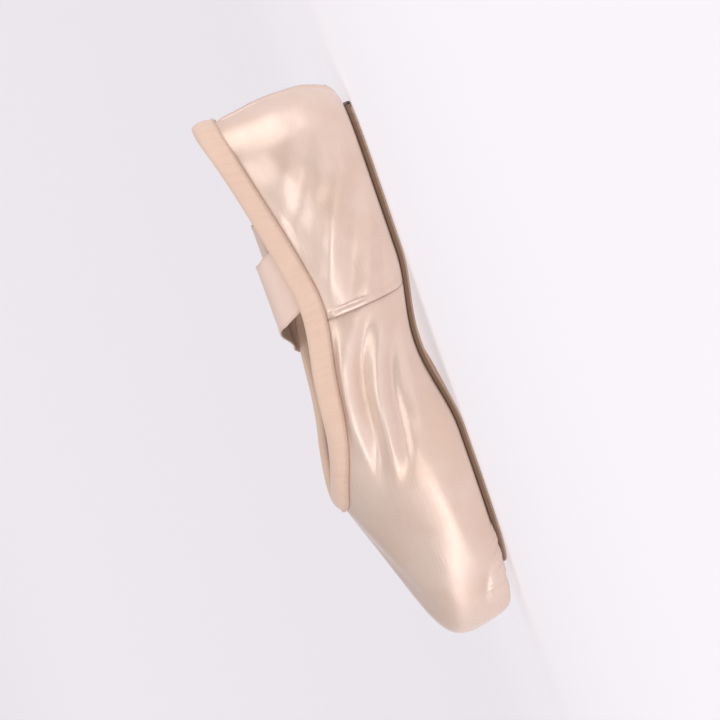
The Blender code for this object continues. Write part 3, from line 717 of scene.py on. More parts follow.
# %% Seams and pleats
SEAM_AT = 3.86
SEAM_WIDTH = 0.0032
SEAM_HEIGHT = 0.0011
SEAM_ACROSS = (-0.45, -0.15, -0.03, 0.09, 0.24, 0.70, 0.92, 1.10)
SEAM_RISE = (0.0, -0.25, -0.45, 0.70, 1.0, 0.90, 0.40, 0.0)
BACK_SEAM_HEIGHT = 0.0006
PLEATS = 14
PLEAT_DEPTH = 0.0010
FINE_PLEATS = 3
PLEAT_REACH = 0.013
PLEATS_FROM = 8.9
PLEAT_ACROSS = (0.0, 0.25, 0.60, 0.80, 0.92, 1.0)
PLEAT_SWELL = (0.0, 0.45, 0.92, 1.0, 0.30, 0.0)
PLEAT_STEPS = 400
BINDING_WIDTH = 0.0085


def pleat_starts():
    """The places round the toe where the pleats begin, spaced along the sole's edge, a few a bit wider."""
    fine = np.linspace(PLEATS_FROM, RING - PLEATS_FROM, PLEAT_STEPS)
    run = run_along(foot_line(fine))
    even = np.linspace(0.0, 1.0, PLEATS + 1)
    uneven = even + 0.012 * np.sin(even * 2 * math.pi * 4.0) * np.sin(even * math.pi)
    return np.interp(uneven * run[-1], run, fine)


def seam_profile(places, middle, heelward):
    """The height of one side seam across its own width."""
    across = (np.asarray(places) - middle) * heelward / (SEAM_WIDTH / place_step(middle))
    return SEAM_HEIGHT * np.interp(across, SEAM_ACROSS, SEAM_RISE)


def pleat_profile(places):
    """The sawtooth of the toe pleats: each swells and ends in a tucked step."""
    starts = pleat_starts()
    share = np.interp(places, starts, np.arange(PLEATS + 1))
    inside = (np.asarray(places) > starts[0]) & (np.asarray(places) < starts[-1])
    swell = np.interp(share % 1.0, PLEAT_ACROSS, PLEAT_SWELL)
    small = 0.5 - 0.5 * np.cos(2 * math.pi * FINE_PLEATS * share)
    return PLEAT_DEPTH * inside * (0.72 * swell + 0.28 * small)


def pleat_reach(places):
    """How far up each pleat runs before it fades: some are longer than their neighbours."""
    share = np.interp(places, pleat_starts(), np.arange(PLEATS + 1))
    return PLEAT_REACH * (0.74 + 0.26 * np.sin(share * 2.3 + 0.6))


print("pleats start at", np.round(pleat_starts()[:4], 2))


# %% The creases' table
class Crease(NamedTuple):
    """One soft line on the shoe's side, from one end to the other: along from the heel and up from the
    sole's edge in metres, its half width and its height, which is negative for a trough."""

    side: int
    along_a: float
    up_a: float
    along_b: float
    up_b: float
    half_width: float
    height: float


CREASES = (
    Crease(1, 0.020, 0.004, 0.074, 0.031, 0.0034, 0.0015),
    Crease(1, 0.032, 0.002, 0.082, 0.024, 0.0028, -0.0011),
    Crease(1, 0.046, 0.001, 0.083, 0.017, 0.0024, 0.0010),
    Crease(1, 0.058, 0.001, 0.084, 0.010, 0.0018, -0.0006),
    Crease(1, 0.016, 0.018, 0.060, 0.040, 0.0050, -0.0013),
    Crease(1, 0.050, 0.024, 0.078, 0.034, 0.0024, -0.0006),
    Crease(1, 0.094, 0.0285, 0.140, 0.0385, 0.0052, 0.0027),
    Crease(1, 0.092, 0.0185, 0.149, 0.0350, 0.0026, -0.0030),
    Crease(1, 0.092, 0.0110, 0.152, 0.0305, 0.0030, 0.0026),
    Crease(1, 0.097, 0.006, 0.148, 0.0240, 0.0022, -0.0016),
    Crease(1, 0.106, 0.002, 0.140, 0.0145, 0.0024, 0.0009),
    Crease(1, 0.126, 0.033, 0.152, 0.037, 0.0016, -0.0007),
    Crease(1, 0.146, 0.0150, 0.208, 0.008, 0.0060, 0.0009),
    Crease(1, 0.204, 0.006, 0.221, 0.011, 0.0018, -0.0008),
    Crease(-1, 0.026, 0.006, 0.070, 0.028, 0.0036, 0.0015),
    Crease(-1, 0.034, 0.016, 0.068, 0.036, 0.0038, -0.0012),
    Crease(-1, 0.044, 0.002, 0.080, 0.015, 0.0026, -0.0009),
    Crease(-1, 0.094, 0.026, 0.136, 0.038, 0.0034, 0.0020),
    Crease(-1, 0.092, 0.015, 0.143, 0.033, 0.0028, -0.0023),
    Crease(-1, 0.093, 0.007, 0.146, 0.026, 0.0022, 0.0018),
    Crease(-1, 0.105, 0.003, 0.141, 0.016, 0.0020, -0.0010),
)


CREASE_BOW = 0.02
CREASE_ENDS = (-0.2, 0.35)


def crease_relief(points):
    """What the creases raise at each point of the surface."""
    side, along = points[:, :, 0], LENGTH / 2 - points[:, :, 1]
    up = points[:, :, 2] - SEAT_HEIGHT - rise(along)
    raised = np.zeros(side.shape)
    for crease in CREASES:
        start = np.array([crease.along_a, crease.up_a])
        way = np.array([crease.along_b, crease.up_b]) - start
        length = np.linalg.norm(way)
        way = way / length
        forth = (along - start[0]) * way[0] + (up - start[1]) * way[1]
        bow = CREASE_BOW * length * np.sin(math.pi * np.clip(forth / length, 0.0, 1.0))
        off = (up - start[1]) * way[0] - (along - start[0]) * way[1] - bow
        ends = smooth(*CREASE_ENDS, forth / length) * smooth(*CREASE_ENDS, 1.0 - forth / length)
        here = side * crease.side > 0
        raised += here * crease.height * ends * np.exp(-((off / crease.half_width) ** 2))
    return raised


WAVE_HEIGHT, RIPPLE_HEIGHT = 0.00022, 0.00009
BOX_STIFFENS = (0.135, 0.165)
BOX_STIFFNESS = 0.72


def slackness(points):
    """The slight unevenness of cloth over paste, larger in the soft quarters than on the hard box."""
    x, y, z = np.moveaxis(points, 2, 0)
    waves = np.sin(y * 190 + z * 120 + 1.0) * np.sin(z * 210 - y * 60 + x * 90 + 0.4)
    ripples = np.sin(y * 420 - z * 260 + 2.1) * np.sin(z * 370 + y * 130 - x * 150)
    soft = 1.0 - BOX_STIFFNESS * smooth(*BOX_STIFFENS, LENGTH / 2 - y)
    return soft * (WAVE_HEIGHT * waves + RIPPLE_HEIGHT * ripples)


SEAMS_BEGIN = (0.16, 0.30)
PLEATS_BEGIN = (0.03, 0.16)
CREASES_BEGIN = (0.22, 0.36)
TAPE_CLEARS = (BINDING_WIDTH + 0.0003, BINDING_WIDTH + 0.0035)
PLEAT_FADE = 1.6


def clear_of_tape(places, levels):
    """0 under the collar's tape and 1 a little below it."""
    return smooth(*TAPE_CLEARS, below_rim(places, levels))


def relief(places, levels, points):
    """Everything that stands off the smooth surface, in metres."""
    clear = clear_of_tape(places, levels)
    table = by_column(places, levels)
    back = from_heel(places) * place_step(0.0)
    ridges = BACK_SEAM_HEIGHT * np.interp(back, [0.0, SEAM_WIDTH * 0.25, SEAM_WIDTH / 2], [0.6, 1.0, 0.0])
    ridges = ridges + seam_profile(places, SEAM_AT, -1.0) + seam_profile(places, RING - SEAM_AT, 1.0)
    seams = ridges[:, None] * clear * smooth(*SEAMS_BEGIN, table)
    heights = points[:, :, 2] - SEAT_HEIGHT - TOE_SPRING
    reach = pleat_reach(places)[:, None]
    fade = np.clip(1.0 - heights / reach, 0.0, 1.0) ** PLEAT_FADE * smooth(*PLEATS_BEGIN, table)
    pleats = pleat_profile(places)[:, None] * fade
    cloth = (crease_relief(points) + slackness(points)) * clear * smooth(*CREASES_BEGIN, table)
    return seams + pleats + cloth


print("creases:", len(CREASES))

# %% [markdown]
# ## The shoe's satin
# Duchess satin is woven so that long floats of thread lie on top. Light slides off them in one broad,
# soft highlight with a bright core. So the finish has a base that is partly metallic, which tints what
# it mirrors, and a thin clear coat about as smooth, with a little sheen at the edges. The floats are a
# grain stretched up the shoe, and a second grain runs across for the weft. The colour is a pale peach
# that turns a shade deeper in patches, with a breath of wear where the platform meets the floor.

# %% Satin finish
SATIN = (0.81, 0.632, 0.528, 1)
SATIN_DEEP = (0.71, 0.505, 0.380, 1)
SATIN_WORN = (0.62, 0.52, 0.46, 1)
SEAM_THREAD_AND_SHADOW = (0.33, 0.20, 0.14, 1)
SEAM_LINE = 0.0007
SEAM_STEPS = 1200


def seam_runs():
    """Where the side seams and the back seam lie, as runs along the sole's edge from the heel."""
    fine = np.linspace(0.0, RING, SEAM_STEPS)
    run = run_along(foot_line(fine))
    return [float(np.interp(place, fine, run)) for place in (0.0, SEAM_AT, RING - SEAM_AT, RING)]


def make_satin():
    """Glossy peach satin with its float grain, faint clouds of tone, a little wear at the tip and seam lines
    darkened partly with painted shadow.
    """
    cloth = Finish("satin_peach")
    run = cloth.run()
    place = cloth.place()
    floats = cloth.noise(cloth.stretched(run, (220, 5200, 0)), detail=3.0)
    weft = cloth.noise(cloth.stretched(run, (4600, 520, 0)), detail=2.0)
    slubs = cloth.noise(cloth.stretched(run, (45, 1150, 0)), detail=3.0, roughness=0.6)
    cloud = cloth.noise(place, scale=38, detail=3.0)
    tip = cloth.between(cloth.axis(place, "Y") * -1.0, LENGTH / 2 - 0.010, LENGTH / 2 + 0.001)
    low = 1.0 - cloth.between(cloth.axis(place, "Z"), 0.004, 0.020)
    rub = cloth.between(cloth.noise(place, scale=260, detail=4.0, roughness=0.65), 0.48, 0.66)
    worn = tip * low * rub * 0.55
    tone = cloth.mix(cloth.between(cloud, 0.35, 0.70) * 0.60, SATIN, SATIN_DEEP)
    grained = cloth.mix(cloth.between(slubs, 0.35, 0.75) * 0.22, tone, SATIN_DEEP)
    # The seams are drawn as thin dark lines: partly the dark joint itself and partly painted shadow of the
    # groove between the panels.
    line = 0.0
    for seam in seam_runs():
        off = abs(cloth.axis(run, "X") - seam)
        line = line + (1.0 - cloth.between(off, SEAM_LINE * 0.35, SEAM_LINE))
    seamed_and_shaded = cloth.mix(line * 0.75, grained, SEAM_THREAD_AND_SHADOW)
    colour = cloth.mix(worn, seamed_and_shaded, SATIN_WORN)
    relief = floats * 0.45 + weft * 0.25 + slubs * 0.70
    return cloth.paint(
        Base_Color=colour,
        Metallic=0.28,
        Roughness=0.30 + 0.10 * floats + 0.25 * worn,
        Specular_IOR_Level=0.90,
        Sheen_Weight=0.15,
        Sheen_Roughness=0.35,
        Sheen_Tint=(1.0, 0.92, 0.87, 1.0),
        Coat_Weight=0.70,
        Coat_Roughness=0.29,
        Normal=cloth.bump(relief, 0.00009),
    )


SATIN_FINISH = make_satin()
print("satin:", len(SATIN_FINISH.node_tree.nodes), "nodes")

# %% [markdown]
# ## The lining
# Inside, the foot meets unbleached cotton. It is a plain weave: two sets of threads that cross. Two
# wave textures at right angles make the grid, and a stretched noise keeps the threads uneven. One wave
# spans two threads, one that dips and one that rises.

# %% Lining finish
LINING_PITCH = 0.0007
THREADS_PER_UNIT = 3.2
COTTON = (0.84, 0.72, 0.57, 1)
COTTON_DEEP = (0.78, 0.64, 0.49, 1)
COTTON_GAPS = (0.68, 0.55, 0.42, 1)


def make_lining():
    """Unbleached cotton in plain weave."""
    cloth = Finish("lining_cotton")
    run = cloth.run()
    turns = 1.0 / LINING_PITCH / THREADS_PER_UNIT

    def threads(direction, factors):
        settings = {"wave_type": "BANDS", "bands_direction": direction, "wave_profile": "SIN"}
        values = {"Vector": cloth.stretched(run, factors), "Scale": 0.5, "Distortion": 0.0}
        return cloth.node("ShaderNodeTexWave", settings, values, out="Fac")

    warp = threads("X", (turns, 0, 0))
    weft = threads("Y", (0, turns, 0))
    slubs = cloth.noise(cloth.stretched(run, (300, 2500, 0)), detail=3.0)
    cloud = cloth.noise(cloth.place(), scale=45, detail=2.0)
    weave = warp * 0.5 + weft * 0.5
    tone = cloth.mix(cloud * 0.6, COTTON, COTTON_DEEP)
    colour = cloth.mix(cloth.between(weave, 0.15, 0.6) * 0.35 + slubs * 0.15, COTTON_GAPS, tone)
    return cloth.paint(
        Base_Color=colour,
        Roughness=0.86,
        Sheen_Weight=0.2,
        Specular_IOR_Level=0.25,
        Normal=cloth.bump(weave * 0.6 + slubs * 0.4, 0.00012),
    )


LINING_FINISH = make_lining()
print("lining:", len(LINING_FINISH.node_tree.nodes), "nodes")

# %% [markdown]
# ## The upper as one hollow piece
# Each column of the mesh is a closed loop: up the outside from the margin under the foot to the
# collar, and down the inside again. Columns stand closer together where the seams and pleats need
# it. One mesh carries two finishes, satin outside and lining inside, because the two cloths share
# their edges. The wall is the real one: thin in the quarters and stiff and thick round the box.

# %% Columns and rows
COLUMNS_SIDE = 14
COLUMNS_TOE = 30
OUTER_ROWS = 104
INNER_ROWS = 30
TOE_COLUMNS_FROM = PLEATS_FROM - 0.2
BACK_SEAM_SHARES = (0.12, 0.25, 0.40, 0.50, 0.70)
LINING_FOLLOWS = 0.7


def upper_columns():
    """Places round the shoe, from the heel's middle, with more of them where detail is fine."""
    sides = np.arange(0.0, TOE_COLUMNS_FROM, 1.0 / COLUMNS_SIDE)
    toe = np.arange(TOE_COLUMNS_FROM, TOE, 1.0 / COLUMNS_TOE)
    seam = SEAM_AT - np.array(SEAM_ACROSS) * SEAM_WIDTH / place_step(SEAM_AT)
    back = np.array(BACK_SEAM_SHARES) * SEAM_WIDTH / place_step(0.0)
    clear = 0.6 * SEAM_WIDTH / place_step(SEAM_AT)
    kept = [p for p in (*sides, *toe) if abs(p - SEAM_AT) > clear * 1.6 and not 0 < p < back[-1] + 0.03]
    inner = np.unique(np.concatenate([kept, seam, back, [0.0]]))
    return np.concatenate([inner, [TOE], RING - inner[:0:-1]])


def rows_up(places, count):
    """Levels of each column's rows: even ones up to the binding, then a few under it."""
    band = level_below_rim(places, BINDING_WIDTH)
    even = np.linspace(0.0, 1.0, count - 4)[None, :] * band
    under = band + (1.0 - band) * np.array([0.25, 0.5, 0.75, 1.0])[None, :]
    return np.concatenate([even, under], axis=1)


def make_upper():
    """The satin and its lining, open at the collar and under the foot."""
    places = upper_columns()
    outer_levels = rows_up(places, OUTER_ROWS)
    inner_levels = rows_up(places, INNER_ROWS)[:, ::-1]
    plain = form(places, outer_levels)
    outer = plain + outward(places, outer_levels) * relief(places, outer_levels, plain)[:, :, None]
    back = form(places, inner_levels)
    soft = crease_relief(back) * smooth(*CREASES_BEGIN, inner_levels)
    clear = clear_of_tape(places, inner_levels)
    wall = wall_thickness(places, inner_levels) - soft * clear * LINING_FOLLOWS
    inner = back - outward(places, inner_levels) * wall[:, :, None]
    loops = np.concatenate([outer, inner], axis=1)
    round_run = run_along(foot_line(places))
    up_run = np.linalg.norm(np.diff(loops, axis=1), axis=2).cumsum(axis=1)
    up_run = np.concatenate([np.zeros((len(places), 1)), up_run], axis=1)
    runs = np.stack([np.broadcast_to(round_run[:, None], up_run.shape), up_run], axis=2)
    slots = np.array([0] * OUTER_ROWS + [1] * INNER_ROWS)
    slots[-1] = 0
    piece = grid_piece("upper_satin", loops, runs, [SATIN_FINISH, LINING_FINISH], slots=slots)
    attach(piece, "root")
    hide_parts("upper")
    print("upper:", len(places), "columns,", len(piece.data.polygons) * 2, "triangles")
    return piece


make_upper()

# %% [markdown]
# ## The collar's binding
# A bias tape is folded over the raw edge of the satin and stitched down, with a cord running in its
# fold. It is matte cotton, warmer in colour than the satin, and the cord gathers it into fine puckers.
# The tape follows the collar a little off the wall. Puckers are real relief, because they break its
# outline, and its weave is bump.

# %% Binding finish and stitches' thread
TAPE_PEACH = (0.77, 0.555, 0.435, 1)
TAPE_DEEP = (0.70, 0.480, 0.360, 1)
TAPE_LIGHT = (0.85, 0.64, 0.52, 1)
TAPE_PAINTED_SHADE = (0.52, 0.335, 0.235, 1)


def make_tape():
    """Matte peach cotton with a fine slanting weave, and painted shade along the tape's lower edges."""
    cloth = Finish("binding_cotton")
    run = cloth.run()
    weave = cloth.noise(cloth.stretched(run, (2600, 2600, 0)), detail=2.0)
    bars = cloth.noise(cloth.stretched(run, (620, 90, 0)), detail=3.0)
    cloud = cloth.noise(cloth.place(), scale=80, detail=2.0)
    across = abs(cloth.axis(run, "Y"))
    # The tape's lower edges, where it meets the satin inside and out, are painted darker: painted shade
    # standing for the shadow line there.
    seam = cloth.between(across, BINDING_WIDTH * 0.82, BINDING_WIDTH * 0.97)
    tone = cloth.mix(cloud * 0.6, TAPE_PEACH, TAPE_DEEP)
    lit = cloth.mix(cloth.between(bars, 0.35, 0.7) * 0.22, tone, TAPE_LIGHT)
    colour = cloth.mix(seam * 0.45, lit, TAPE_PAINTED_SHADE)
    return cloth.paint(
        Base_Color=colour,
        Roughness=0.68,
        Sheen_Weight=0.35,
        Sheen_Roughness=0.5,
        Specular_IOR_Level=0.35,
        Normal=cloth.bump(weave * 0.6 + bars * 0.4, 0.00007),
    )


def make_thread():
    """Twisted sewing thread."""
    cloth = Finish("thread_peach")
    twist = cloth.noise(cloth.stretched(cloth.place(), (2400, 2400, 2400)), detail=2.0)
    colour = cloth.mix(twist * 0.6, (0.76, 0.56, 0.45, 1), (0.62, 0.43, 0.33, 1))
    return cloth.paint(Base_Color=colour, Roughness=0.55, Normal=cloth.bump(twist, 0.00005))


TAPE = make_tape()
THREAD = make_thread()
print("binding finish:", len(TAPE.node_tree.nodes), "nodes")

# %% The folded tape
BINDING_GAP = 0.0006
BINDING_THICKNESS = 0.0009
BINDING_PUFF = 0.0007
PUCKER = 0.00009
TAPE_STEP = 0.0009
COLLAR_STEPS = 1600


class Fold(NamedTuple):
    """One corner of the tape's section: how far below the rim as a share of its width, how far off the
    wall, how far above the rim, whether it lies inside the shoe, and how much it puckers."""

    below: float
    out: float
    above: float
    inside: bool
    pucker: float


LEAF = BINDING_GAP + BINDING_THICKNESS
CROWN = 0.55 * LEAF
TAPE_FOLDS = (
    Fold(1.00, BINDING_GAP * 0.5, 0.0, False, 0.2),
    Fold(0.99, BINDING_GAP + 0.55 * BINDING_THICKNESS, 0.0, False, 0.3),
    Fold(0.94, LEAF, 0.0, False, 0.5),
    Fold(0.86, LEAF + 0.10 * BINDING_PUFF, 0.0, False, 0.7),
    Fold(0.72, LEAF + 0.35 * BINDING_PUFF, 0.0, False, 1.0),
    Fold(0.58, LEAF + 0.75 * BINDING_PUFF, 0.0, False, 1.0),
    Fold(0.44, LEAF + BINDING_PUFF, 0.0, False, 1.0),
    Fold(0.30, LEAF + 0.95 * BINDING_PUFF, 0.0, False, 1.0),
    Fold(0.17, LEAF + 0.65 * BINDING_PUFF, 0.0, False, 0.8),
    Fold(0.07, LEAF + 0.20 * BINDING_PUFF, CROWN * 0.25, False, 0.6),
    Fold(0.00, 0.70 * LEAF, CROWN * 0.95, False, 0.5),
    Fold(0.00, 0.10 * LEAF, CROWN * 1.45, False, 0.5),
    Fold(0.00, 0.55 * LEAF, CROWN * 1.10, True, 0.5),
    Fold(0.06, LEAF, CROWN * 0.30, True, 0.5),
    Fold(0.30, LEAF, 0.0, True, 0.6),
    Fold(0.65, LEAF, 0.0, True, 0.6),
    Fold(0.97, LEAF, 0.0, True, 0.3),
    Fold(1.00, BINDING_GAP, 0.0, True, 0.0),
    Fold(0.50, BINDING_GAP, 0.0, True, 0.0),
    Fold(0.00, BINDING_GAP, BINDING_GAP, True, 0.0),
    Fold(0.00, BINDING_GAP, BINDING_GAP, False, 0.0),
    Fold(0.50, BINDING_GAP, 0.0, False, 0.0),
)


def rim_run(places):
    """How far round the collar each place is."""
    return run_along(form(places, [1.0])[:, 0])


def off_wall(places, levels, out, inside):
    """Points that stand off the upper's wall, outside or, where inside is true, within the shoe."""
    reach = -out - wall_thickness(places, levels) if inside else np.broadcast_to(out, levels.shape)
    return (form(places, levels) + outward(places, levels) * reach[:, :, None])[:, 0]


def collar_places(step):
    """Places round the shoe that are evenly far apart along the collar, and the collar's whole length."""
    fine = np.linspace(0.0, RING, COLLAR_STEPS)
    run = rim_run(fine)
    count = int(run[-1] / step)
    return np.interp(np.linspace(0.0, run[-1], count, endpoint=False), run, fine), run[-1]


def puckers(run, whole):
    """Fine uneven gathers, which come round to where they began."""
    turn = 2 * math.pi * run / whole
    return (
        0.45 * np.sin(131 * turn + 1.4 * np.sin(7 * turn))
        + 0.35 * np.sin(83 * turn + 2.0 * np.sin(5 * turn) + 1.0)
        + 0.20 * np.sin(211 * turn + 0.5)
    )


def make_binding():
    """The folded tape, with its puckers."""
    places, whole = collar_places(TAPE_STEP)
    run = np.arange(len(places)) * whole / len(places)
    rim = form(places, [1.0])[:, 0]
    upward = unit(rim - form(places, [1.0 - SMALL_STEP])[:, 0])
    gathers = puckers(run, whole) * PUCKER
    rings, across = [], []
    for fold in TAPE_FOLDS:
        levels = level_below_rim(places, fold.below * BINDING_WIDTH)
        out = fold.out + fold.pucker * gathers[:, None]
        rings.append(off_wall(places, levels, out, fold.inside) + upward * fold.above)
        across.append(BINDING_WIDTH * (fold.below if fold.inside else -fold.below))
    loops = np.stack(rings, axis=1)
    runs = np.stack(
        [np.broadcast_to(run[:, None], loops.shape[:2]), np.broadcast_to(across, loops.shape[:2])], axis=2
    )
    piece = grid_piece("binding_tape", loops, runs, [TAPE])
    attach(piece, "root")
    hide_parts("collar_binding")
    print("binding:", len(places), "columns, collar length in mm:", round(whole * 1000))
    return piece


make_binding()

# %% [markdown]
# ## Stitches along the tape
# One row of machine stitches holds the tape's outer edge. A stitch is a short thread that dips into
# the cloth at both ends. One small capsule is worked out once, and its points are set down again and
# again along the collar, all joined in one mesh.

# %% Stitches
STITCH_PITCH = 0.0026
STITCH_LENGTH = 0.0018
STITCH_RADIUS = 0.00022
STITCH_SIDES = 6
STITCH_BELOW = 0.90
STITCH_SINK = 0.0003


class ThreadRing(NamedTuple):
    """One cross-section of a stitch: its place as a share of the length, its size as a share of the
    radius, and how deep it dips into the cloth as a share of the sink."""

    along: float
    size: float
    dip: float


THREAD_RINGS = (
    ThreadRing(-0.50, 0.35, 1.00),
    ThreadRing(-0.42, 0.85, 0.55),
    ThreadRing(-0.15, 1.00, 0.00),
    ThreadRing(0.15, 1.00, 0.00),
    ThreadRing(0.42, 0.85, 0.55),
    ThreadRing(0.50, 0.35, 1.00),
)


def stitch_row(name, middles, forwards, ups):
    """Short threads laid along a line, joined in one mesh."""
    turn = np.linspace(0.0, 2 * math.pi, STITCH_SIDES, endpoint=False)
    sideways = np.cross(ups, forwards)
    verts, faces = [], []
    for middle, forward, up, side in zip(middles, forwards, ups, sideways, strict=True):
        base = len(verts)
        for ring in THREAD_RINGS:
            centre = middle + forward * (ring.along * STITCH_LENGTH) - up * (ring.dip * STITCH_SINK)
            for angle in turn:
                spoke = up * math.sin(angle) + side * math.cos(angle)
                verts.append(centre + spoke * (STITCH_RADIUS * ring.size))
        rings = len(THREAD_RINGS)
        for ring in range(rings - 1):
            for k in range(STITCH_SIDES):
                after = (k + 1) % STITCH_SIDES
                low = base + ring * STITCH_SIDES
                faces.append((low + k, low + after, low + STITCH_SIDES + after, low + STITCH_SIDES + k))
        faces.append([base + k for k in range(STITCH_SIDES)][::-1])
        faces.append([base + (rings - 1) * STITCH_SIDES + k for k in range(STITCH_SIDES)])
    mesh = bpy.data.meshes.new(name)
    mesh.from_pydata([tuple(v) for v in verts], [], faces)
    mesh.shade_smooth()
    mesh.materials.append(THREAD)
    piece = add_object(name, mesh)
    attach(piece, "root")
    return piece


def stitch_binding():
    """The row of stitches near the tape's outer edge."""
    places, _ = collar_places(STITCH_PITCH)
    levels = level_below_rim(places, STITCH_BELOW * BINDING_WIDTH)
    out = LEAF + 0.06 * BINDING_PUFF + STITCH_RADIUS * 0.3
    middles = off_wall(places, levels, out, False)
    forwards = unit(np.roll(middles, -1, axis=0) - np.roll(middles, 1, axis=0))
    stitch_row("binding_stitches", middles, forwards, outward(places, levels)[:, 0])
    print("stitches round the collar:", len(places))


stitch_binding()

# %% [markdown]
# ## The sole and the insole
# The outsole is a short plate of buffed leather, much smaller than the foot. Its edge is dark on
# its upper half, next to the upper: partly burnish and partly painted shade standing for the shadow of
# the gap there, and that dark line is what draws the sole in a side view. Underneath, the leather is
# scored and scuffed under the ball and the heel. The insole is board covered in cotton. Both plates
# follow the sole's line and have both ends round. They are built like the CAD plates, with more
# stations and with a rounded edge.

# %% Sole leather
OUTSOLE_INSET, OUTSOLE_EDGE = 0.0055, 0.0007
OUTSOLE_FIRST, OUTSOLE_LAST = 0.013, LENGTH - 0.021
INSOLE_INSET, INSOLE_THICKNESS = 0.0070, 0.0020
INSOLE_FIRST, INSOLE_LAST = 0.0135, LENGTH - 0.013
INSOLE_LOW = SEAT_HEIGHT + MARGIN_WALL + 0.0005
HEEL_ROUND, TOE_ROUND = 0.021, 0.024
GLUE = 0.00025


LEATHER = (0.55, 0.405, 0.295, 1)
LEATHER_DEEP = (0.44, 0.31, 0.215, 1)
LEATHER_SCUFFED = (0.36, 0.27, 0.205, 1)
LEATHER_BURNISH_AND_SHADE = (0.19, 0.11, 0.066, 1)


def make_sole_leather():
    """Buffed tan leather: pores and nap below, scuffs where it meets the floor, and an edge dark on its
    upper half, partly burnish and partly painted shade.
    """
    hide = Finish("sole_leather")
    run = hide.run()
    place = hide.place()
    edge = hide.axis(run, "X")
    cells = {"Vector": place, "Scale": 1300.0}
    pores = hide.node("ShaderNodeTexVoronoi", {"feature": "F1"}, cells, out="Distance")
    nap = hide.noise(place, scale=900, detail=4.0, roughness=0.6)
    cloud = hide.noise(place, scale=42, detail=4.0)
    strokes = hide.noise(hide.stretched(place, (120, 900, 60)), detail=4.0, roughness=0.7)
    along = hide.axis(place, "Y")
    ball = hide.between(along * -1.0, 0.020, 0.055) * (1.0 - hide.between(along * -1.0, 0.080, 0.100))
    heel = hide.between(along, 0.040, 0.070)
    scuffed = (ball + heel) * hide.between(strokes, 0.46, 0.66)
    tone = hide.mix(hide.between(cloud, 0.3, 0.75), LEATHER, LEATHER_DEEP)
    rubbed = hide.mix(scuffed * 0.55, tone, LEATHER_SCUFFED)
    # The upper half of the edge is painted dark: partly burnish, partly painted shade that stands for the
    # shadow where the sole meets the upper.
    burnish_and_shade = hide.between(edge, 0.35, 0.75)
    colour = hide.mix(burnish_and_shade * 0.9, rubbed, LEATHER_BURNISH_AND_SHADE)
    relief = nap * 0.5 + pores * 0.4 + scuffed * 0.5
    return hide.paint(
        Base_Color=colour,
        Roughness=0.80 - 0.34 * burnish_and_shade + 0.08 * nap,
        Specular_IOR_Level=0.35,
        Normal=hide.bump(relief, 0.00016),
    )


SOLE_LEATHER = make_sole_leather()
print("sole leather:", len(SOLE_LEATHER.node_tree.nodes), "nodes")


# %% Plates that follow the sole
class Corner(NamedTuple):
    """One corner of a plate's section: how far across as a share of the half width, how far in from
    the edge in metres, how high as a share of the thickness, and how much it counts as edge."""

    across: float
    inset: float
    up: float
    edge: float


# The last column also sets how dark the edge is painted: dark from half way up, partly burnish and partly
# painted shade.
PLATE_CORNERS = (
    Corner(0.0, 0.0, 0.0, 0.0),
    Corner(0.5, 0.0, 0.0, 0.0),
    Corner(1.0, 0.0016, 0.0, 0.0),
    Corner(1.0, 0.0008, 0.06, 0.2),
    Corner(1.0, 0.0003, 0.22, 0.45),
    Corner(1.0, 0.0, 0.45, 0.75),
    Corner(1.0, 0.00008, 0.80, 1.0),
    Corner(1.0, 0.0004, 0.97, 1.0),
    Corner(1.0, 0.0016, 1.0, 0.0),
    Corner(0.5, 0.0, 1.0, 0.0),
    Corner(0.0, 0.0, 1.0, 0.0),
)


PLATE_STATIONS = 150
END_SHARES = (0.0012, 0.9988)
OUTLINE_STEPS = 300
BLUNT_END = 0.0009
EDGE_MOST = 0.45


def plate_half(station, first, last, inset):
    """Half the width of a plate at one station: the foot's outline moved in, with both ends round."""
    side, along = foot_line(np.linspace(0.0, TOE, OUTLINE_STEPS)).T
    rising = np.maximum.accumulate(along)
    half = float(np.interp(np.clip(station, first + HEEL_ROUND, last - TOE_ROUND), rising, side)) - inset
    back = min((station - first) / HEEL_ROUND, 1.0)
    front = min((last - station) / TOE_ROUND, 1.0)
    return half * math.sqrt(1.0 - (1.0 - back) ** 2) * math.sqrt(1.0 - (1.0 - front) ** 2)


def make_plate(name, first, last, inset, low, thickness, material, dome=0.0):
    """A plate with a rounded edge. dome presses its upper face down where the foot has stood."""
    turn = np.linspace(0.0, math.pi, PLATE_STATIONS)
    shares = np.clip(0.5 * (1.0 - np.cos(turn)) / 2 + 0.5 * turn / math.pi, *END_SHARES)
    loops, runs = [], []
    for station in first + (last - first) * shares:
        half = plate_half(station, first, last, inset)
        base = low + float(rise(station))
        ends = min(station - first, last - station)
        ring = [(1.0, c) for c in PLATE_CORNERS] + [(-1.0, c) for c in PLATE_CORNERS[-2:0:-1]]
        points, marks = [], []
        for hand, corner in ring:
            cut = min(corner.inset, EDGE_MOST * half)
            x = hand * (half - cut) * corner.across
            sunk = dome * (1.0 - (x / max(half, 1e-6)) ** 2) if corner.up == 1.0 else 0.0
            points.append((x, LENGTH / 2 - station, base + thickness * corner.up - sunk))
            near_end = 1.0 if ends < BLUNT_END else 0.0
            marks.append((max(corner.edge, near_end), station))
        loops.append(points)
        runs.append(marks)
    piece = grid_piece(name, np.array(loops), np.array(runs), [material], closed=False)
    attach(piece, "root")
    print(name, "triangles:", len(piece.data.polygons) * 2)
    return piece


def make_outsole():
    """The short leather outsole, with the glue that fills the gap under the upper."""
    thickness = OUTSOLE_THICKNESS + GLUE
    piece = make_plate(
        "outsole_plate", OUTSOLE_FIRST, OUTSOLE_LAST, OUTSOLE_INSET, 0.0, thickness, SOLE_LEATHER
    )
    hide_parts("outsole")


make_outsole()


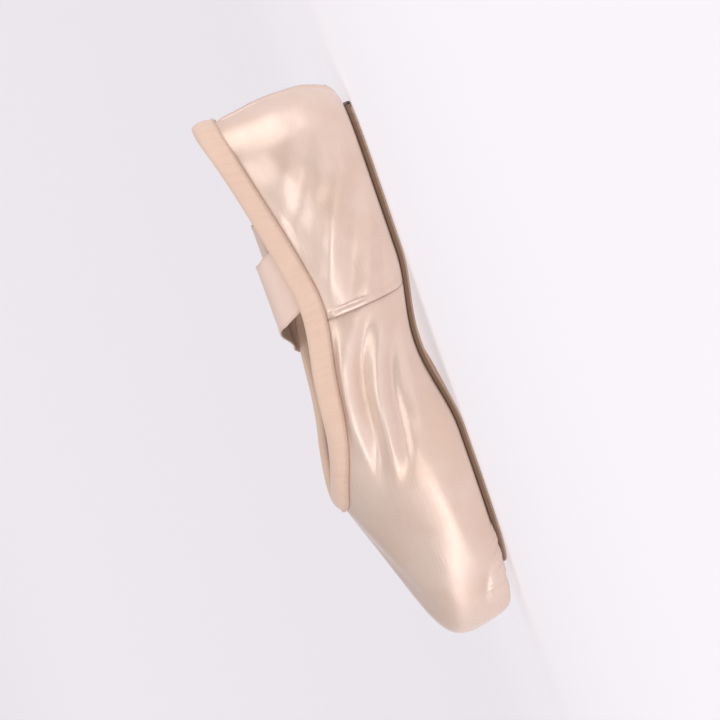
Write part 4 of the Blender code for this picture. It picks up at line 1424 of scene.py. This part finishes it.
# %% Insole
def make_insole_cloth():
    """Cotton over board, a little darker where the heel and the toes have pressed it."""
    cloth = Finish("insole_cotton")
    place = cloth.place()
    threads_a = cloth.noise(cloth.stretched(place, (2600, 300, 300)), detail=2.0)
    threads_b = cloth.noise(cloth.stretched(place, (300, 2600, 300)), detail=2.0)
    cloud = cloth.noise(place, scale=34, detail=4.0)
    along = cloth.axis(place, "Y")
    pressed = cloth.between(along, 0.055, 0.090) + cloth.between(along * -1.0, 0.040, 0.080)
    tone = cloth.mix(cloud * 0.5, (0.72, 0.62, 0.50, 1), (0.64, 0.53, 0.41, 1))
    worn = pressed * 0.30 * cloth.between(cloud, 0.3, 0.7)
    colour = cloth.mix(worn, tone, (0.47, 0.37, 0.28, 1))
    weave = threads_a * 0.5 + threads_b * 0.5
    return cloth.paint(
        Base_Color=colour,
        Roughness=0.88,
        Sheen_Weight=0.15,
        Specular_IOR_Level=0.25,
        Normal=cloth.bump(weave, 0.00012),
    )


def make_insole():
    """The insole, hollowed a little by the foot."""
    cloth = make_insole_cloth()
    piece = make_plate(
        "insole_board", INSOLE_FIRST, INSOLE_LAST, INSOLE_INSET, INSOLE_LOW, INSOLE_THICKNESS, cloth, 0.0005
    )
    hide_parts("insole")


make_insole()

# %% [markdown]
# ## Floor and light
# The photograph was taken on a seamless sheet of pale paper in very soft light, so the shoe stands on
# one pale sheet that curves up behind it. Satin shows what it mirrors, and the lights are chosen
# for their shape: a broad one beyond the heel draws the bright band round it, a long low one on the
# camera's side draws the line along the box, and one high on the camera's side fills the rest. The
# dark of a studio behind the camera counts as much: a dark panel stands there for the satin to mirror.

# %% Paper floor
PAPER_BACK = 1.3
PAPER_CURVE = 0.6
PAPER_TOP = 2.6
PAPER_TURNS = 96
PAPER_PAINTED_GLOW = 0.58
PAPER_OPEN = math.cos(math.radians(48))
PAPER_FADES = (0.35, 1.1)
PAPER_WHITE = (0.98, 0.945, 0.985, 1)
PAPER_DIM = (0.30, 0.29, 0.30, 1)
FLOOR_Z = -0.0002
CURVE_STEPS = 12


def make_paper():
    """A seamless sheet: flat under the shoe, curving up behind it, and open on the camera's side. It glows
    with painted light, white low down and dim higher up.
    """
    finish = Finish("paper")
    # The paper glows: its emission is painted light, white near the floor and dim higher up, which keeps it
    # pale and softens the shoe's shadows on it.
    high = finish.between(finish.axis(finish.place(), "Z"), *PAPER_FADES)
    finish.paint(
        Base_Color=(0.40, 0.385, 0.40, 1),
        Roughness=0.9,
        Specular_IOR_Level=0.1,
        Emission_Color=finish.mix(high, PAPER_WHITE, PAPER_DIM),
        Emission_Strength=PAPER_PAINTED_GLOW,
    )
    profile = [(0.5, FLOOR_Z), (PAPER_BACK, FLOOR_Z)]
    for step in range(1, CURVE_STEPS + 1):
        angle = step / CURVE_STEPS * math.pi / 2
        out, up = PAPER_CURVE * math.sin(angle), PAPER_CURVE * (1.0 - math.cos(angle))
        profile.append((PAPER_BACK + out, FLOOR_Z + up))
    profile.append((PAPER_BACK + PAPER_CURVE, PAPER_TOP))
    turns = [2 * math.pi * k / PAPER_TURNS for k in range(PAPER_TURNS)]
    verts = [(r * math.cos(turn), r * math.sin(turn), z) for r, z in profile for turn in turns]
    verts.append((0.0, 0.0, FLOOR_Z))
    faces = [(len(verts) - 1, k, (k + 1) % PAPER_TURNS) for k in range(PAPER_TURNS)]
    for ring in range(len(profile) - 1):
        for k in range(PAPER_TURNS):
            toward_camera = math.cos(turns[k] - (CAMERA_AZIMUTH - math.pi / 2))
            if ring > 0 and toward_camera > PAPER_OPEN:
                continue
            after = (k + 1) % PAPER_TURNS
            low, high = ring * PAPER_TURNS, (ring + 1) * PAPER_TURNS
            faces.append((low + k, high + k, high + after, low + after))
    mesh = bpy.data.meshes.new("paper")
    mesh.from_pydata(verts, [], faces)
    mesh.shade_smooth()
    mesh.materials.append(finish.material)
    add_object("paper", mesh)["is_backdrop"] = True


make_paper()


# %% Lights
class Lamp(NamedTuple):
    """One soft light: its place, its width and height, its power and its colour."""

    name: str
    place: tuple
    width: float
    height: float
    power: float
    colour: tuple


ROOM_LIGHT = 0.43
LAMPS_AIM = Vector((0.0, 0.0, 0.03))
LAMPS = (
    Lamp("heel_side", (0.22, 1.15, 0.42), 1.1, 0.95, 5.8, (1.0, 0.985, 0.975)),
    Lamp("low_front", (1.00, -0.61, 0.26), 1.3, 0.36, 4.5, (1.0, 0.985, 0.975)),
    Lamp("overhead", (0.80, 0.30, 1.02), 0.8, 0.7, 3.6, (1.0, 0.985, 0.98)),
)
FLAG_AT = 1.7
FLAG_WIDTH = 2.3
FLAG_HEIGHT = 1.3


def make_flag():
    """A dark panel behind the camera. The camera never sees it, but the satin mirrors it, and so its
    folds stay deep in tone beside the bright streaks."""
    finish = Finish("flag")
    finish.paint(Base_Color=(0.13, 0.085, 0.06, 1), Roughness=0.9)
    toward = Vector((math.sin(CAMERA_AZIMUTH), -math.cos(CAMERA_AZIMUTH), 0.0))
    aside = Vector((-toward.y, toward.x, 0.0)) * (FLAG_WIDTH / 2)
    middle = toward * FLAG_AT
    up = Vector((0.0, 0.0, FLAG_HEIGHT))
    mesh = bpy.data.meshes.new("flag")
    left, right = middle - aside, middle + aside
    mesh.from_pydata([left, right, right + up, left + up], [], [(0, 1, 2, 3)])
    mesh.materials.append(finish.material)
    flag = add_object("flag", mesh)
    flag.visible_camera = False
    flag.visible_diffuse = False
    flag.visible_shadow = False
    flag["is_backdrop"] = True


def make_lights():
    """Area lights that look at the shoe, and a pale room round them."""
    for lamp in LAMPS:
        data = bpy.data.lights.new(lamp.name, "AREA")
        data.shape = "RECTANGLE"
        data.size, data.size_y = lamp.width, lamp.height
        data.energy = lamp.power
        data.color = lamp.colour
        light = add_object(lamp.name, data)
        place = Vector(lamp.place)
        turn = (LAMPS_AIM - place).to_track_quat("-Z", "Y").to_matrix().to_4x4()
        light.matrix_world = Matrix.Translation(place) @ turn
    world = bpy.data.worlds.new("room")
    bpy.context.scene.world = world
    world.use_nodes = True
    room = world.node_tree.nodes["Background"].inputs
    room["Color"].default_value = (0.95, 0.95, 0.985, 1)
    room["Strength"].default_value = ROOM_LIGHT
    bpy.context.scene.view_settings.view_transform = "Standard"
    bpy.context.scene.view_settings.look = "None"


make_lights()
make_flag()
print("lights:", len(LAMPS))

# %% [markdown]
# ## Sizes and the end
# The dressed shoe has to stay in the CAD model's box, give or take what cloth may stand proud. Both
# boxes are written down to be compared.

# %% Compare the boxes and finish
bpy.context.view_layer.update()
low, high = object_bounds()
grown = zip((*cad_low, *high), (*low, *cad_high), strict=True)
print("grown by mm:", [round((a - b) * 1000, 2) for a, b in grown])
